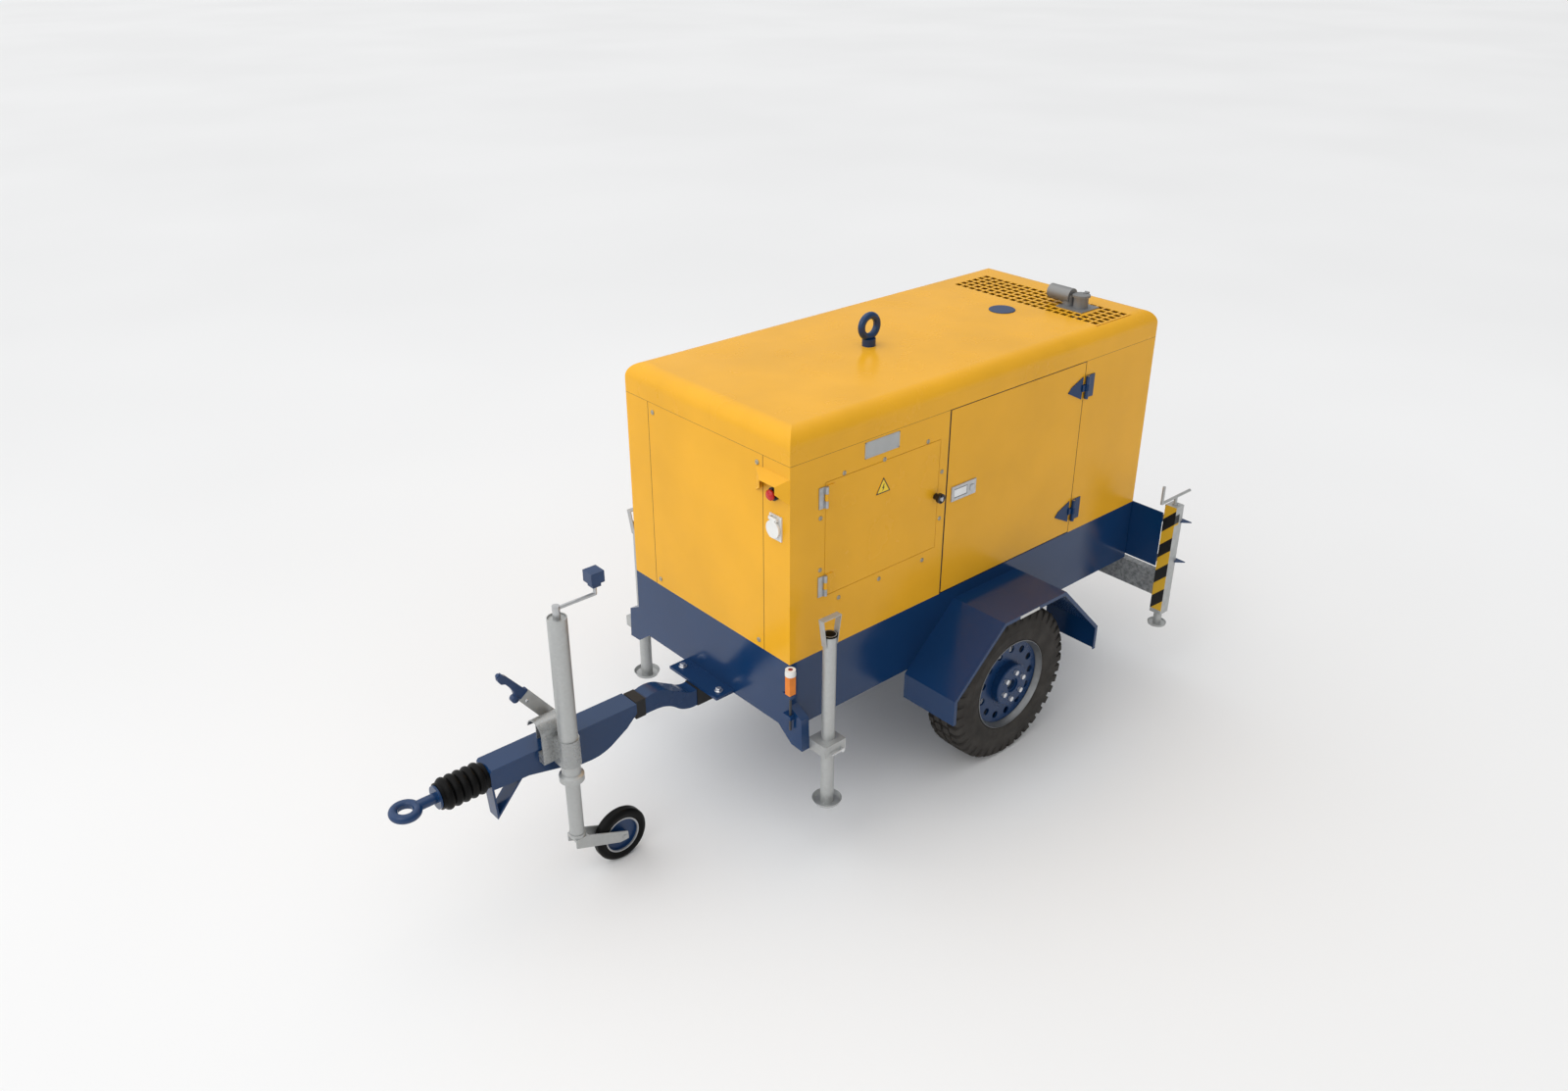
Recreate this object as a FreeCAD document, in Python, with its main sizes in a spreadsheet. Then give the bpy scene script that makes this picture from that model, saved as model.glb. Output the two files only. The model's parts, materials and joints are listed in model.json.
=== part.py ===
"""Towable diesel generator: a canopied generating set on a single-axle trailer.

Millimetres, +Z up. The trailer is towed towards -X, and its control side is -Y.
Lengths along X are measured from the front face of the canopy, heights from the
ground, and every piece is then moved by origin_x, so that the origin lies on the
ground under the middle of the whole trailer.
"""
import FreeCAD, Part
import math
import os
from types import SimpleNamespace

from FreeCAD import Placement, Rotation, Vector

doc = FreeCAD.newDocument("towable_generator")
cells = doc.addObject("Spreadsheet::Sheet", "dims")

SIZES = {
    # whole trailer
    "origin_x": 447.5, "sheet": 3, "heavy_sheet": 5,
    # canopy
    "canopy_length": 2140, "canopy_width": 977, "canopy_base": 824, "roof_seam": 1626,
    "roof_top": 1748, "roof_radius": 64, "centre_panel_half": 343,
    "door_front": 819, "door_rear": 1648, "door_base": 829, "door_top": 1622, "door_fold": 24,
    "control_front": 170, "control_rear": 764, "control_base": 1057, "control_top": 1517,
    "hinge_pin_radius": 6, "hinge_gap": 0.05,
    "stop_y": -408, "stop_height": 1500, "socket_y": -416, "socket_height": 1368,
    "lid_pin_height": 1409,
    # roof
    "grille_front": 1748, "grille_rear": 1992, "grille_left": -446, "grille_right": 370,
    "exhaust_x": 1895, "exhaust_y": -250, "exhaust_radius": 32,
    "eye_x": 850, "lift_hole_radius": 29, "filler_x": 1620, "filler_y": -41, "filler_radius": 58,
    # chassis
    "chassis_base": 530, "front_plate_depth": 38, "rail_height": 70,
    "rear_web_base": 549, "stand_x": 2180, "stand_y": 685, "stand_size": 60,
    # running gear
    "wheel_x": 1095, "wheel_radius": 354, "tyre_width": 178, "wheel_face": 684,
    "rim_radius": 206, "fender_edge": 765, "fender_top": 770, "fender_lip": 16,
    "hub_radius": 96, "stub_radius": 25,
    # front stands
    "leg_x": 97, "leg_y": 600, "leg_radius": 26, "leg_foot": 205, "leg_top": 974,
    # drawbar and coupling
    "drawbar_half": 50, "drawbar_top": 601, "shaft_height": 556, "shaft_radius": 20,
    "eye_ring_x": -1336, "eye_ring_major": 42, "eye_ring_minor": 17, "eye_hole_radius": 26.5,
    "bellows_radius": 61,
    "arm_half": 38, "mount_plate_half": 155,
    # jockey wheel
    "jockey_x": -747, "jockey_y": -125, "jockey_radius": 36, "jockey_top": 1161,
    "jockey_foot": 470, "inner_radius": 28, "screw_radius": 10,
    "jockey_axle_x": -560, "jockey_wheel_radius": 112, "jockey_wheel_width": 46,
    # handbrake
    "brake_x": -719, "brake_y": 34, "brake_height": 655,
    # generating set
    "crank_height": 1010, "fan_rise": 190, "bore_clearance": 0.05,
}
S = SimpleNamespace(**SIZES)
for row, (alias, amount) in enumerate(SIZES.items(), start=1):
    cells.set(f"A{row}", alias)
    cells.set(f"B{row}", str(amount))
    cells.setAlias(f"B{row}", alias)
doc.recompute()

HALF = S.canopy_width / 2
X_AXIS = Vector(1, 0, 0)
Y_AXIS = Vector(0, 1, 0)
Z_AXIS = Vector(0, 0, 1)
SIDES = {"left": -1, "right": 1}
pieces = {}


# ---------------------------------------------------------------- helpers

def at(x, y, z):
    """A point of the trailer, moved so that the origin is under its middle."""
    return Vector(x - S.origin_x, y, z)


def turned_to(axis):
    """The rotation that takes +Z to an axis."""
    return Rotation(Z_AXIS, Vector(axis))


def bind(obj, prop, amount):
    """Set a size: a string is an expression on the sheet, a number is itself."""
    if isinstance(amount, str):
        obj.setExpression(prop, amount)
    else:
        setattr(obj, prop, amount)


def box(corner, size, name="block"):
    block = doc.addObject("Part::Box", name)
    for prop, amount in zip(("Length", "Width", "Height"), size):
        bind(block, prop, amount)
    block.Placement.Base = at(*corner)
    return block


def rod(start, axis, radius, length, name="rod"):
    cylinder = doc.addObject("Part::Cylinder", name)
    bind(cylinder, "Radius", radius)
    bind(cylinder, "Height", length)
    cylinder.Placement = Placement(at(*start), turned_to(axis))
    return cylinder


def frustum(wall, front, depth, name="frustum"):
    """A block that narrows towards -X: each end is (y, z, y, z) of two opposite corners."""
    wedge = doc.addObject("Part::Wedge", name)
    low_y, low_z, high_y, high_z = wall
    wedge.Xmin, wedge.Zmin, wedge.Xmax, wedge.Zmax = low_y, low_z, high_y, high_z
    low_y, low_z, high_y, high_z = front
    wedge.X2min, wedge.Z2min, wedge.X2max, wedge.Z2max = low_y, low_z, high_y, high_z
    wedge.Ymin = 0
    bind(wedge, "Ymax", depth)
    wedge.Placement = Placement(at(0, 0, 0), Rotation(Z_AXIS, 90))
    return wedge


def torus(centre, axis, major, minor, name="ring"):
    ring = doc.addObject("Part::Torus", name)
    bind(ring, "Radius1", major)
    bind(ring, "Radius2", minor)
    ring.Placement = Placement(at(*centre), turned_to(axis))
    return ring


def fused(*parts, name="fused"):
    joined = doc.addObject("Part::MultiFuse", name)
    joined.Shapes = list(parts)
    joined.Refine = True
    return joined


def group(*parts, name="group"):
    together = doc.addObject("Part::Compound", name)
    together.Links = list(parts)
    return together


def cut(base, *tools, name="cut"):
    result = doc.addObject("Part::Cut", name)
    result.Base = base
    result.Tool = tools[0] if len(tools) == 1 else group(*tools, name="tools")
    return result


def draw(sketch, steps):
    """Draw a closed outline. A step is a point, or (middle, end) for an arc."""
    here = Vector(*steps[0], 0)
    first = here
    for step in steps[1:] + [steps[0]]:
        if isinstance(step[0], tuple):
            middle = Vector(*step[0], 0)
            end = Vector(*step[1], 0)
            sketch.addGeometry(Part.Arc(here, middle, end))
        else:
            end = Vector(*step, 0)
            if (end - here).Length < 1e-6:
                continue
            sketch.addGeometry(Part.LineSegment(here, end))
        here = end
    assert (here - first).Length < 1e-6, "open outline"


def new_sketch(body, role, offset):
    plane = next(item for item in body.Origin.OriginFeatures if item.Role == role)
    sketch = body.newObject("Sketcher::SketchObject", body.Name + "_sketch")
    sketch.AttachmentSupport = [(plane, "")]
    sketch.MapMode = "FlatFace"
    sketch.AttachmentOffset = Placement(Vector(0, 0, offset), Rotation())
    return sketch


def plate(name, role, outline, thickness, start):
    """A padded outline from start in the positive direction of its plane's axis."""
    body = doc.addObject("PartDesign::Body", name)
    facing = -1 if role == "XZ_Plane" else 1
    sketch = new_sketch(body, role, start * facing)
    draw(sketch, outline)
    pad = body.newObject("PartDesign::Pad", name + "_pad")
    pad.Profile = sketch
    bind(pad, "Length", thickness)
    pad.Reversed = facing < 0
    body.Placement.Base = at(0, 0, 0)
    return body


def turned(name, profile, centre, axis):
    """A profile of (radius, height) steps, revolved about its height axis."""
    body = doc.addObject("PartDesign::Body", name)
    sketch = new_sketch(body, "XZ_Plane", 0)
    draw(sketch, profile)
    revolution = body.newObject("PartDesign::Revolution", name + "_revolution")
    revolution.Profile = sketch
    revolution.ReferenceAxis = (sketch, ["V_Axis"])
    revolution.Angle = 360
    body.Placement = Placement(at(*centre), turned_to(axis))
    return body


def strip(points, thickness):
    """The outline of a sheet bent along a line of points, with mitred folds."""
    normals = []
    for (ax, ay), (bx, by) in zip(points, points[1:]):
        length = math.hypot(bx - ax, by - ay)
        normals.append((-(by - ay) / length, (bx - ax) / length))
    far = []
    for index, (x, y) in enumerate(points):
        before = normals[max(index - 1, 0)]
        after = normals[min(index, len(normals) - 1)]
        scale = thickness / (1 + before[0] * after[0] + before[1] * after[1])
        far.append((x + (before[0] + after[0]) * scale, y + (before[1] + after[1]) * scale))
    return points + far[::-1]


def piece(label, obj):
    obj.Label = label
    pieces[label] = obj
    return obj


# ---------------------------------------------------------------- chassis

def chassis_frame():
    """Sheet tray with a flanged front plate, rails, canopy posts and the earth rod's lugs."""
    height = S.canopy_base - S.chassis_base
    front = S.front_plate_depth
    length = S.canopy_length - front - 4
    wall = S.heavy_sheet
    tray = cut(box((front, -HALF, S.chassis_base), (length, "dims.canopy_width", height)),
               box((front + wall, wall - HALF, S.chassis_base + wall),
                   (length - 2 * wall, "dims.canopy_width - 2 * dims.heavy_sheet", height)),
               name="tray")
    ear = [(HALF + 1.5, 643), (555, 609), (561, 469), (499, 472), (423, S.chassis_base)]
    outline = [(HALF, S.canopy_base)] + ear
    outline += [(-y, z) for y, z in reversed(outline)]
    front_plate = plate("front_plate", "YZ_Plane", outline, "dims.front_plate_depth", 0)
    hollow = box((wall, wall - HALF, S.chassis_base + wall),
                 (front, "dims.canopy_width - 2 * dims.heavy_sheet", height))
    rails = [box((60, y - 30, S.chassis_base + wall), (1900, 60, "dims.rail_height"))
             for y in (-230, 230)]
    posts = [box((x, side * 464.5 - 20, S.canopy_base), (32, 40, 800))
             for side in (-1, 1) for x in (780, 1655)]
    sills = [box((780, side * 464.5 - 20, S.canopy_base - 12), (907, 40, 12)) for side in (-1, 1)]
    frames = [fused(*posts[:2], sills[0]), fused(*posts[2:], sills[1])]
    lugs = []
    for height in (600, 694):
        lug = box((-24, -520, height), (24, 44, 16))
        bore = rod((-12, -507, height - 1), Z_AXIS, 5.05, 18)
        lugs.append(cut(lug, bore))
    return group(tray, cut(front_plate, hollow), *rails, *frames, *lugs, name="chassis_frame")


def rear_crossmember():
    """Web across the back with two flanges that carry the rear stands."""
    web = box((S.canopy_length, -655, S.rear_web_base),
              ("dims.heavy_sheet", 1310, "dims.canopy_base - dims.rear_web_base"))
    near = S.stand_y - S.stand_size / 2
    far = S.stand_y + S.stand_size / 2
    front = S.stand_x - S.stand_size / 2
    back = S.stand_x + S.stand_size / 2
    lips = []
    for side in (-1, 1):
        bracket = [(S.canopy_length + 2, 560), (back + 26, 650), (back + 22, far + 38), (back - 14, far + 2),
                   (back, far), (back, near), (front, near), (S.canopy_length + 2, near)]
        outline = [(x, side * y) for x, y in bracket]
        for height in (571, 778):
            lips.append(plate("stand_bracket", "XY_Plane", outline, "dims.heavy_sheet", height))
    return fused(web, *lips, name="rear_crossmember")


def axle_beam():
    """Square torsion-axle beam under the tray, with trailing arms and stub axles."""
    beam_x = S.wheel_x - 160
    height = 90
    beam = box((beam_x - 45, -470, S.chassis_base - height), (90, 940, height))
    parts = [beam]
    for side in (-1, 1):
        arm_start = 440 if side > 0 else -470
        arm = plate("trailing_arm", "XZ_Plane",
                    [(beam_x - 45, 525), (beam_x + 40, 525), (S.wheel_x + 40, S.wheel_radius + 25),
                     (S.wheel_x + 30, S.wheel_radius - 35), (S.wheel_x - 35, S.wheel_radius - 30),
                     (beam_x - 45, 445)], 30, arm_start)
        parts.append(arm)
        reach = S.wheel_face - 440 - 22
        parts.append(rod((S.wheel_x, side * 440, S.wheel_radius), (0, side, 0),
                         "dims.stub_radius", reach))
    return fused(*parts, name="axle_beam")


def fenders():
    """Two folded sheet mudguards, each with a turned-in lip along its outer edge."""
    bend = [(630, 400), (630, 515), (907, S.fender_top), (1297, S.fender_top), (1560, 500), (1560, 385)]
    width = S.fender_edge - HALF
    guards = []
    for side in (-1, 1):
        start = HALF if side > 0 else -S.fender_edge
        lip_start = S.fender_edge - 4 if side > 0 else -S.fender_edge
        shell = plate("fender_shell", "XZ_Plane", strip(bend, -4), width, start)
        lip = plate("fender_lip", "XZ_Plane", strip(bend, -S.fender_lip), 4, lip_start)
        guards.append(fused(shell, lip))
    return group(*guards, name="fenders")


# ---------------------------------------------------------------- drawbar

def drawbar_arm():
    """S-shaped box arm with its bands, bolted under a plate in front of the tray."""
    top, low = S.drawbar_top, S.chassis_base
    depth = 73
    upper = [(-396, top), (-340, top), ((-288, top + 6), (-240, top - 9)),
             ((-205, top - 30), (-165, top - 52)), ((-135, low + 3), (-100, low)), (420, low)]
    lower = [(420, low - depth), (-100, low - depth), ((-150, low - depth + 5), (-195, low - 45)),
             ((-240, low - 15), (-290, low - 3)), ((-315, top - depth), (-340, top - depth)),
             (-396, top - depth)]
    arm = plate("arm", "XZ_Plane", upper + lower, "2 * dims.arm_half", -S.arm_half)
    outside = S.arm_half + 2.5
    bands = []
    for start, length, base in ((-394, 46, top - depth), (-98, 80, low - depth)):
        outer = box((start, -outside, base - 2.5), (length, 2 * outside, depth + 5))
        inner = box((start, -S.arm_half, base), (length, "2 * dims.arm_half", depth))
        bands.append(cut(outer, inner, name="band"))
    mount = box((-90, -S.mount_plate_half, S.chassis_base + 3),
                (90, "2 * dims.mount_plate_half", 12))
    return group(arm, *bands, mount, name="drawbar_arm")


def overrun_housing():
    """Cast housing of the overrun device, with the strap rest under its nose."""
    top = S.drawbar_top
    outline = [(-1030, 515), (-1030, top - 8), (-1022, top), (-396, top), (-396, top - 41),
               (-445, 512), (-517, 468), ((-570, 449), (-630, 446)), ((-690, 454), (-744, 476)),
               (-879, 508), (-960, 510)]
    casting = plate("casting", "XZ_Plane", outline, "2 * dims.drawbar_half", -S.drawbar_half)
    bore = rod((-1031, 0, S.shaft_height), X_AXIS, "dims.shaft_radius + dims.bore_clearance", 361)
    rest = plate("rest", "XZ_Plane", strip([(-1022, 516), (-1012, 362), (-880, 512)], 8), 60, -30)
    return fused(cut(casting, bore), rest, name="overrun_housing")


def tow_eye():
    """Drawbar eye on its sliding shaft."""
    ring = torus((S.eye_ring_x, 0, S.shaft_height), Z_AXIS, "dims.eye_ring_major",
                 "dims.eye_ring_minor")
    start = S.eye_ring_x + S.eye_ring_major
    shaft = rod((start, 0, S.shaft_height), X_AXIS, "dims.shaft_radius", -760 - start)
    collar = rod((-1223, 0, S.shaft_height), X_AXIS, 44, 9)
    land = rod((S.eye_ring_x, 0, S.shaft_height - 30), Z_AXIS, "dims.eye_hole_radius", 60)
    return cut(fused(ring, shaft, collar), land, name="tow_eye")


def bellows():
    """Rubber gaiter over the sliding shaft, with five rounded folds."""
    inner = 24
    start, length, folds = -1213, 183, 5
    pitch = (length - 24) / folds
    steps = [(inner, 0), (50, 0), (50, 12)]
    for fold in range(folds):
        base = 12 + fold * pitch
        steps.append(((S.bellows_radius, base + 0.5 * pitch), (50, base + pitch)))
    steps += [(50, length), (inner, length)]
    return turned("bellows", steps, (start, 0, S.shaft_height), X_AXIS)


def handbrake_lever():
    """Channel lever with a round grip, on the far side of the jockey clamp."""
    lean = math.radians(53)
    along = Vector(-math.cos(lean), 0, math.sin(lean))
    across = Vector(math.sin(lean), 0, math.cos(lean))
    pivot = Vector(S.brake_x, S.brake_y, S.brake_height)

    def outline(start, end, half):
        corners = []
        for reach, offset in ((start, -half), (end, -half), (end, half), (start, half)):
            point = pivot + along * reach + across * offset
            corners.append((point.x, point.z))
        return corners
    lever = plate("lever", "XZ_Plane", outline(-22, 186, 26), 18, S.brake_y - 9)
    bore = rod((pivot.x, pivot.y - 12, pivot.z), Y_AXIS, "8 + dims.bore_clearance", 24)
    grip_start = pivot + along * 184
    grip = rod(tuple(grip_start), along, 13, 136)
    hollow = rod(tuple(grip_start + along * 116), along, 8.1, 21)
    return fused(cut(lever, bore), cut(grip, hollow), name="handbrake_lever")


def handbrake_button():
    lean = math.radians(53)
    along = Vector(-math.cos(lean), 0, math.sin(lean))
    start = Vector(S.brake_x, S.brake_y, S.brake_height) + along * 309
    return rod(tuple(start), along, 8, 20, name="handbrake_button")


# ---------------------------------------------------------------- jockey wheel

def jockey_clamp():
    """Bent saddle over the drawbar with a tall strap round the jockey tube, and the brake pivot."""
    outside = S.jockey_y + S.jockey_radius + 5
    arch = [(outside, 548), (outside, 668), ((-36, 717), (14, 676)), (9, 676),
            ((-36, 712), (outside + 5, 668)), (outside + 5, 548)]
    saddle = plate("saddle", "YZ_Plane", arch, 105, -832)
    far_leg = box((-800, 9, S.drawbar_top), (73, 5, 676 - S.drawbar_top))
    side = box((-832, outside + 5, 548), (105, -S.drawbar_half - outside - 5, 44))
    ring = rod((S.jockey_x, S.jockey_y, 542), Z_AXIS, S.jockey_radius + 5, 112)
    bridge = box((S.jockey_x - 41, S.jockey_y, 542), (82, outside - S.jockey_y + 1, 112))
    bore = rod((S.jockey_x, S.jockey_y, 541), Z_AXIS, "dims.jockey_radius", 114)
    bolts = [rod((S.jockey_x + 25, outside - 5, height), X_AXIS, 9, 32) for height in (560, 636)]
    strap = cut(fused(ring, bridge, *bolts), bore)
    bracket = box((S.brake_x - 30, 14, S.drawbar_top), (60, 9, 54))
    boss = rod((S.brake_x, 14, S.brake_height), Y_AXIS, 26, 9)
    pin = rod((S.brake_x, 20, S.brake_height), Y_AXIS, 8, 32)
    return fused(saddle, far_leg, side, strap, fused(bracket, boss, pin), name="jockey_clamp")


def jockey_tube():
    """Outer tube of the jockey wheel, with its guide collar and capped top."""
    base, top, outer = S.jockey_foot, S.jockey_top, S.jockey_radius
    inner = S.inner_radius + S.bore_clearance
    bush = S.screw_radius + S.bore_clearance
    steps = [(inner, 0), (47, 0), (47, 24), (outer, 30), (outer, top - base), (outer - 3, top - base),
             (outer - 3, top - base - 6), (bush, top - base - 6), (bush, top - base - 14),
             (outer - 4, top - base - 14), (outer - 4, 60), (inner, 60)]
    return turned("jockey_tube", steps, (S.jockey_x, S.jockey_y, base), Z_AXIS)


def jockey_inner_tube():
    """Telescoping tube, closed by a nut plate at the top and a plug at the foot."""
    base, top = 222, 880
    outer, wall = S.inner_radius, 4
    bore = S.screw_radius + S.bore_clearance
    steps = [(0, 0), (outer, 0), (outer, top - base), (bore, top - base), (bore, top - base - 20),
             (outer - wall, top - base - 20), (outer - wall, 12), (0, 12)]
    return turned("jockey_inner_tube", steps, (S.jockey_x, S.jockey_y, base), Z_AXIS)


def jockey_crank():
    """Lead screw with its crank arm and square knob."""
    top = S.jockey_top
    screw = rod((S.jockey_x, S.jockey_y, 520), Z_AXIS, "dims.screw_radius", top - 520)
    stem = rod((S.jockey_x, S.jockey_y, top - 5.9), Z_AXIS, 14, 52)
    arm = rod((S.jockey_x, S.jockey_y, top + 34), X_AXIS, 7, 160)
    corner = (S.jockey_x + 160, S.jockey_y, top + 34)
    elbow = rod(corner, Z_AXIS, 7, 44)
    ball = doc.addObject("Part::Sphere", "elbow_ball")
    ball.Radius = 7
    ball.Placement.Base = at(*corner)
    knob = box((corner[0] - 17, S.jockey_y - 17, top + 66), (34, 34, 18))
    head = box((corner[0] - 27, S.jockey_y - 27, top + 84), (54, 54, 44))
    return fused(screw, stem, arm, elbow, ball, knob, head, name="jockey_crank")


def jockey_fork():
    """Cap under the inner tube with two flat bars that trail to the axle."""
    height = S.jockey_wheel_radius
    half = S.jockey_wheel_width / 2
    cap = rod((S.jockey_x, S.jockey_y, 207), Z_AXIS, S.inner_radius + 3, 14.7)
    bars = []
    for side in (-1, 1):
        start = S.jockey_y + (half + 4 if side > 0 else -half - 9)
        bars.append(plate("fork_bar", "XZ_Plane",
                          [(S.jockey_x - 24, 206), (S.jockey_x + 30, 206),
                           (S.jockey_axle_x + 18, height + 18), (S.jockey_axle_x + 20, height - 17),
                           (S.jockey_axle_x - 20, height - 17), (S.jockey_x - 24, 170)], 5, start))
    bridge = box((S.jockey_x - 24, S.jockey_y - half - 9, 196), (54, 2 * half + 18, 12))
    axle = rod((S.jockey_axle_x, S.jockey_y - half - 14, height), Y_AXIS, 8, 2 * half + 28)
    return fused(cap, *bars, bridge, axle, name="jockey_fork")


def jockey_tyre():
    half = S.jockey_wheel_width / 2
    radius = S.jockey_wheel_radius
    steps = [(76, -half + 4), (90, -half), ((radius - 5, -half + 4), (radius, -12)),
             (radius, 12), ((radius - 5, half - 4), (90, half)), (76, half - 4)]
    return turned("jockey_tyre", steps, (S.jockey_axle_x, S.jockey_y, radius), Y_AXIS)


def jockey_wheel():
    half = S.jockey_wheel_width / 2
    bore = 8 + S.bore_clearance
    steps = [(bore, -half), (22, -half), (22, -5), (66, -5), (70, -half + 4), (76, -half + 4),
             (76, half - 4), (70, half - 4), (66, 5), (22, 5), (22, half), (bore, half)]
    return turned("jockey_wheel", steps,
                  (S.jockey_axle_x, S.jockey_y, S.jockey_wheel_radius), Y_AXIS)


# ---------------------------------------------------------------- road wheels

def tyre(side):
    """Road tyre. Its outer face is at wheel_face; height runs inwards to outwards."""
    width = S.tyre_width
    rim, radius = S.rim_radius, S.wheel_radius
    bead = rim - 11.7
    steps = [(bead, 25), (rim + 2.3, 9), (rim + 3, 3), ((rim + 60, -2), (radius - 34, 8)),
             (radius - 8, 24), (radius, 36), (radius, width - 36), (radius - 8, width - 24),
             (radius - 34, width - 8), ((rim + 60, width + 2), (rim + 3, width - 3)),
             (rim + 2.3, width - 9), (bead, width - 25)]
    start = side * (S.wheel_face - width)
    return turned("tyre", steps, (S.wheel_x, start, radius), (0, side, 0))


def wheel(side):
    """Flat disc wheel with thirteen round vents, its hub drum and six bolts."""
    width = S.tyre_width
    rim = S.rim_radius
    bed = rim - 12
    bore = S.stub_radius + S.bore_clearance
    disc = width - 33
    steps = [(76, disc), (bed - 4, disc), (bed - 3, disc + 5), (rim - 6, width - 10),
             (rim - 3, width - 3), (rim, width - 4), (rim, width - 11), (bed, width - 24),
             (bed, 24), (rim, 11), (rim, 4), (rim - 3, 3), (bed - 3, 24), (bed - 6, 32),
             (bed - 6, disc - 8), (76, disc - 8)]
    start = side * (S.wheel_face - width)
    rim_body = turned("rim", steps, (S.wheel_x, start, S.wheel_radius), (0, side, 0))
    vents = []
    for index in range(13):
        angle = 2 * math.pi * index / 13
        x = S.wheel_x + 156 * math.cos(angle)
        z = S.wheel_radius + 156 * math.sin(angle)
        vents.append(rod((x, start, z), (0, side, 0), 17, width))
    hub_steps = [(bore, 30), (76, 30), (76, disc), (S.hub_radius, disc), (S.hub_radius, width - 1),
                 (S.hub_radius - 5, width + 3), (34, width + 3), (34, width - 4), (bore, width - 4)]
    hub = turned("hub", hub_steps, (S.wheel_x, start, S.wheel_radius), (0, side, 0))
    bolts = []
    for index in range(6):
        angle = 2 * math.pi * (index + 1 / 3) / 6
        x = S.wheel_x + 62 * math.cos(angle)
        z = S.wheel_radius + 62 * math.sin(angle)
        bolts.append(rod((x, start + side * (width + 3), z), (0, side, 0), 11, 12))
    return group(cut(rim_body, *vents), hub, *bolts, name="wheel")


# ---------------------------------------------------------------- stands

def stand_clamps():
    """Sheet guide boxes on the front plate's ears, bored for the legs."""
    clamps = []
    for side in (-1, 1):
        start = 553 if side > 0 else -650
        height = 48
        outer = box((S.front_plate_depth, start, 467), (106, 97, height))
        inner = box((S.front_plate_depth + 6, start + 4, 471), (96, 89, height - 8))
        bore = rod((S.leg_x, side * S.leg_y, 460), Z_AXIS,
                   "dims.leg_radius + dims.bore_clearance", height + 20)
        pin_bore = rod((S.leg_x + 20, side * 640, 478), (0, side, 0), 5.05, 20)
        clamps.append(cut(outer, inner, bore, pin_bore))
    return group(*clamps, name="stand_clamps")


def clamp_lever(side):
    """Screw with a short cranked lever that locks a front leg."""
    start = side * 641
    screw = rod((S.leg_x + 20, start, 478), (0, side, 0), 5, 24)
    head = rod((S.leg_x + 20, side * 655, 478), (0, side, 0), 9, 10)
    bar = rod((S.leg_x + 20, side * 660, 478), (-1, 0, 0), 4.5, 52)
    return fused(screw, head, bar, name="clamp_lever")


def front_leg(side):
    """Tube leg with a dished foot and a strap handle over its open top."""
    base, top = S.leg_foot, S.leg_top
    outer, wall = S.leg_radius, 3
    steps = [(0, 0), (36, 0), (50, 6), (58.5, 22), (56, 22), (48, 9), (outer, 6), (outer, top - base),
             (outer - wall, top - base), (outer - wall, 6), (0, 6)]
    leg = turned("leg", steps, (S.leg_x, side * S.leg_y, base), Z_AXIS)
    foot, head, root = top - 46, top + 68, outer - 1
    bend = [(S.leg_x - root, foot), (S.leg_x - 42, head), (S.leg_x + 42, head),
            (S.leg_x + root, foot)]
    strap = plate("strap", "XZ_Plane", strip(bend, 3), 26, side * S.leg_y - 13)
    return fused(leg, strap, name="front_leg")


def rear_stand_frame():
    """Square outer tubes of the screw-jack stands, with the bumper beam between them."""
    inside = S.stand_y - S.stand_size / 2
    beam = cut(box((2160, -inside, 386), (40, 2 * inside, 122)),
               box((2163, -inside, 389), (34, 2 * inside, 116)))
    tubes = []
    for side in (-1, 1):
        size = S.stand_size
        corner = S.stand_x - size / 2
        start = side * S.stand_y - size / 2
        outer = box((corner, start, 302), ("dims.stand_size", "dims.stand_size", 563))
        inner = box((corner + 3, start + 3, 296), (size - 6, size - 6, 564))
        bush = rod((S.stand_x, side * S.stand_y, 850), Z_AXIS, "8 + dims.bore_clearance", 30)
        guide = cut(box((corner + 3, start + 3, 302), (size - 6, size - 6, 12)),
                    rod((S.stand_x, side * S.stand_y, 300), Z_AXIS, "19 + dims.bore_clearance", 20))
        tubes.append(fused(cut(outer, inner, bush), guide))
    return group(*tubes, beam, name="rear_stand_frame")


def rear_leg(side):
    """Inner tube with its round foot."""
    bore = 8 + S.bore_clearance
    steps = [(0, 0), (34, 0), (42, 4), (44, 14), (42, 14), (38, 8), (19, 8), (19, 372), (bore, 372),
             (bore, 356), (16, 356), (16, 12), (0, 12)]
    return turned("rear_leg", steps, (S.stand_x, side * S.stand_y, 230), Z_AXIS)


def rear_crank(side):
    """Screw with a cross-bar and an upright handle at its front end."""
    y = side * S.stand_y
    screw = rod((S.stand_x, y, 330), Z_AXIS, 8, 575)
    collar = rod((S.stand_x, y, 865.5), Z_AXIS, 13, 8)
    bar = rod((S.stand_x - 112, y, 905), X_AXIS, 7, 222)
    handle = rod((S.stand_x - 112, y, 901), Z_AXIS, 7, 88)
    return fused(screw, collar, bar, handle, name="rear_crank")


# ---------------------------------------------------------------- canopy

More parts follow.
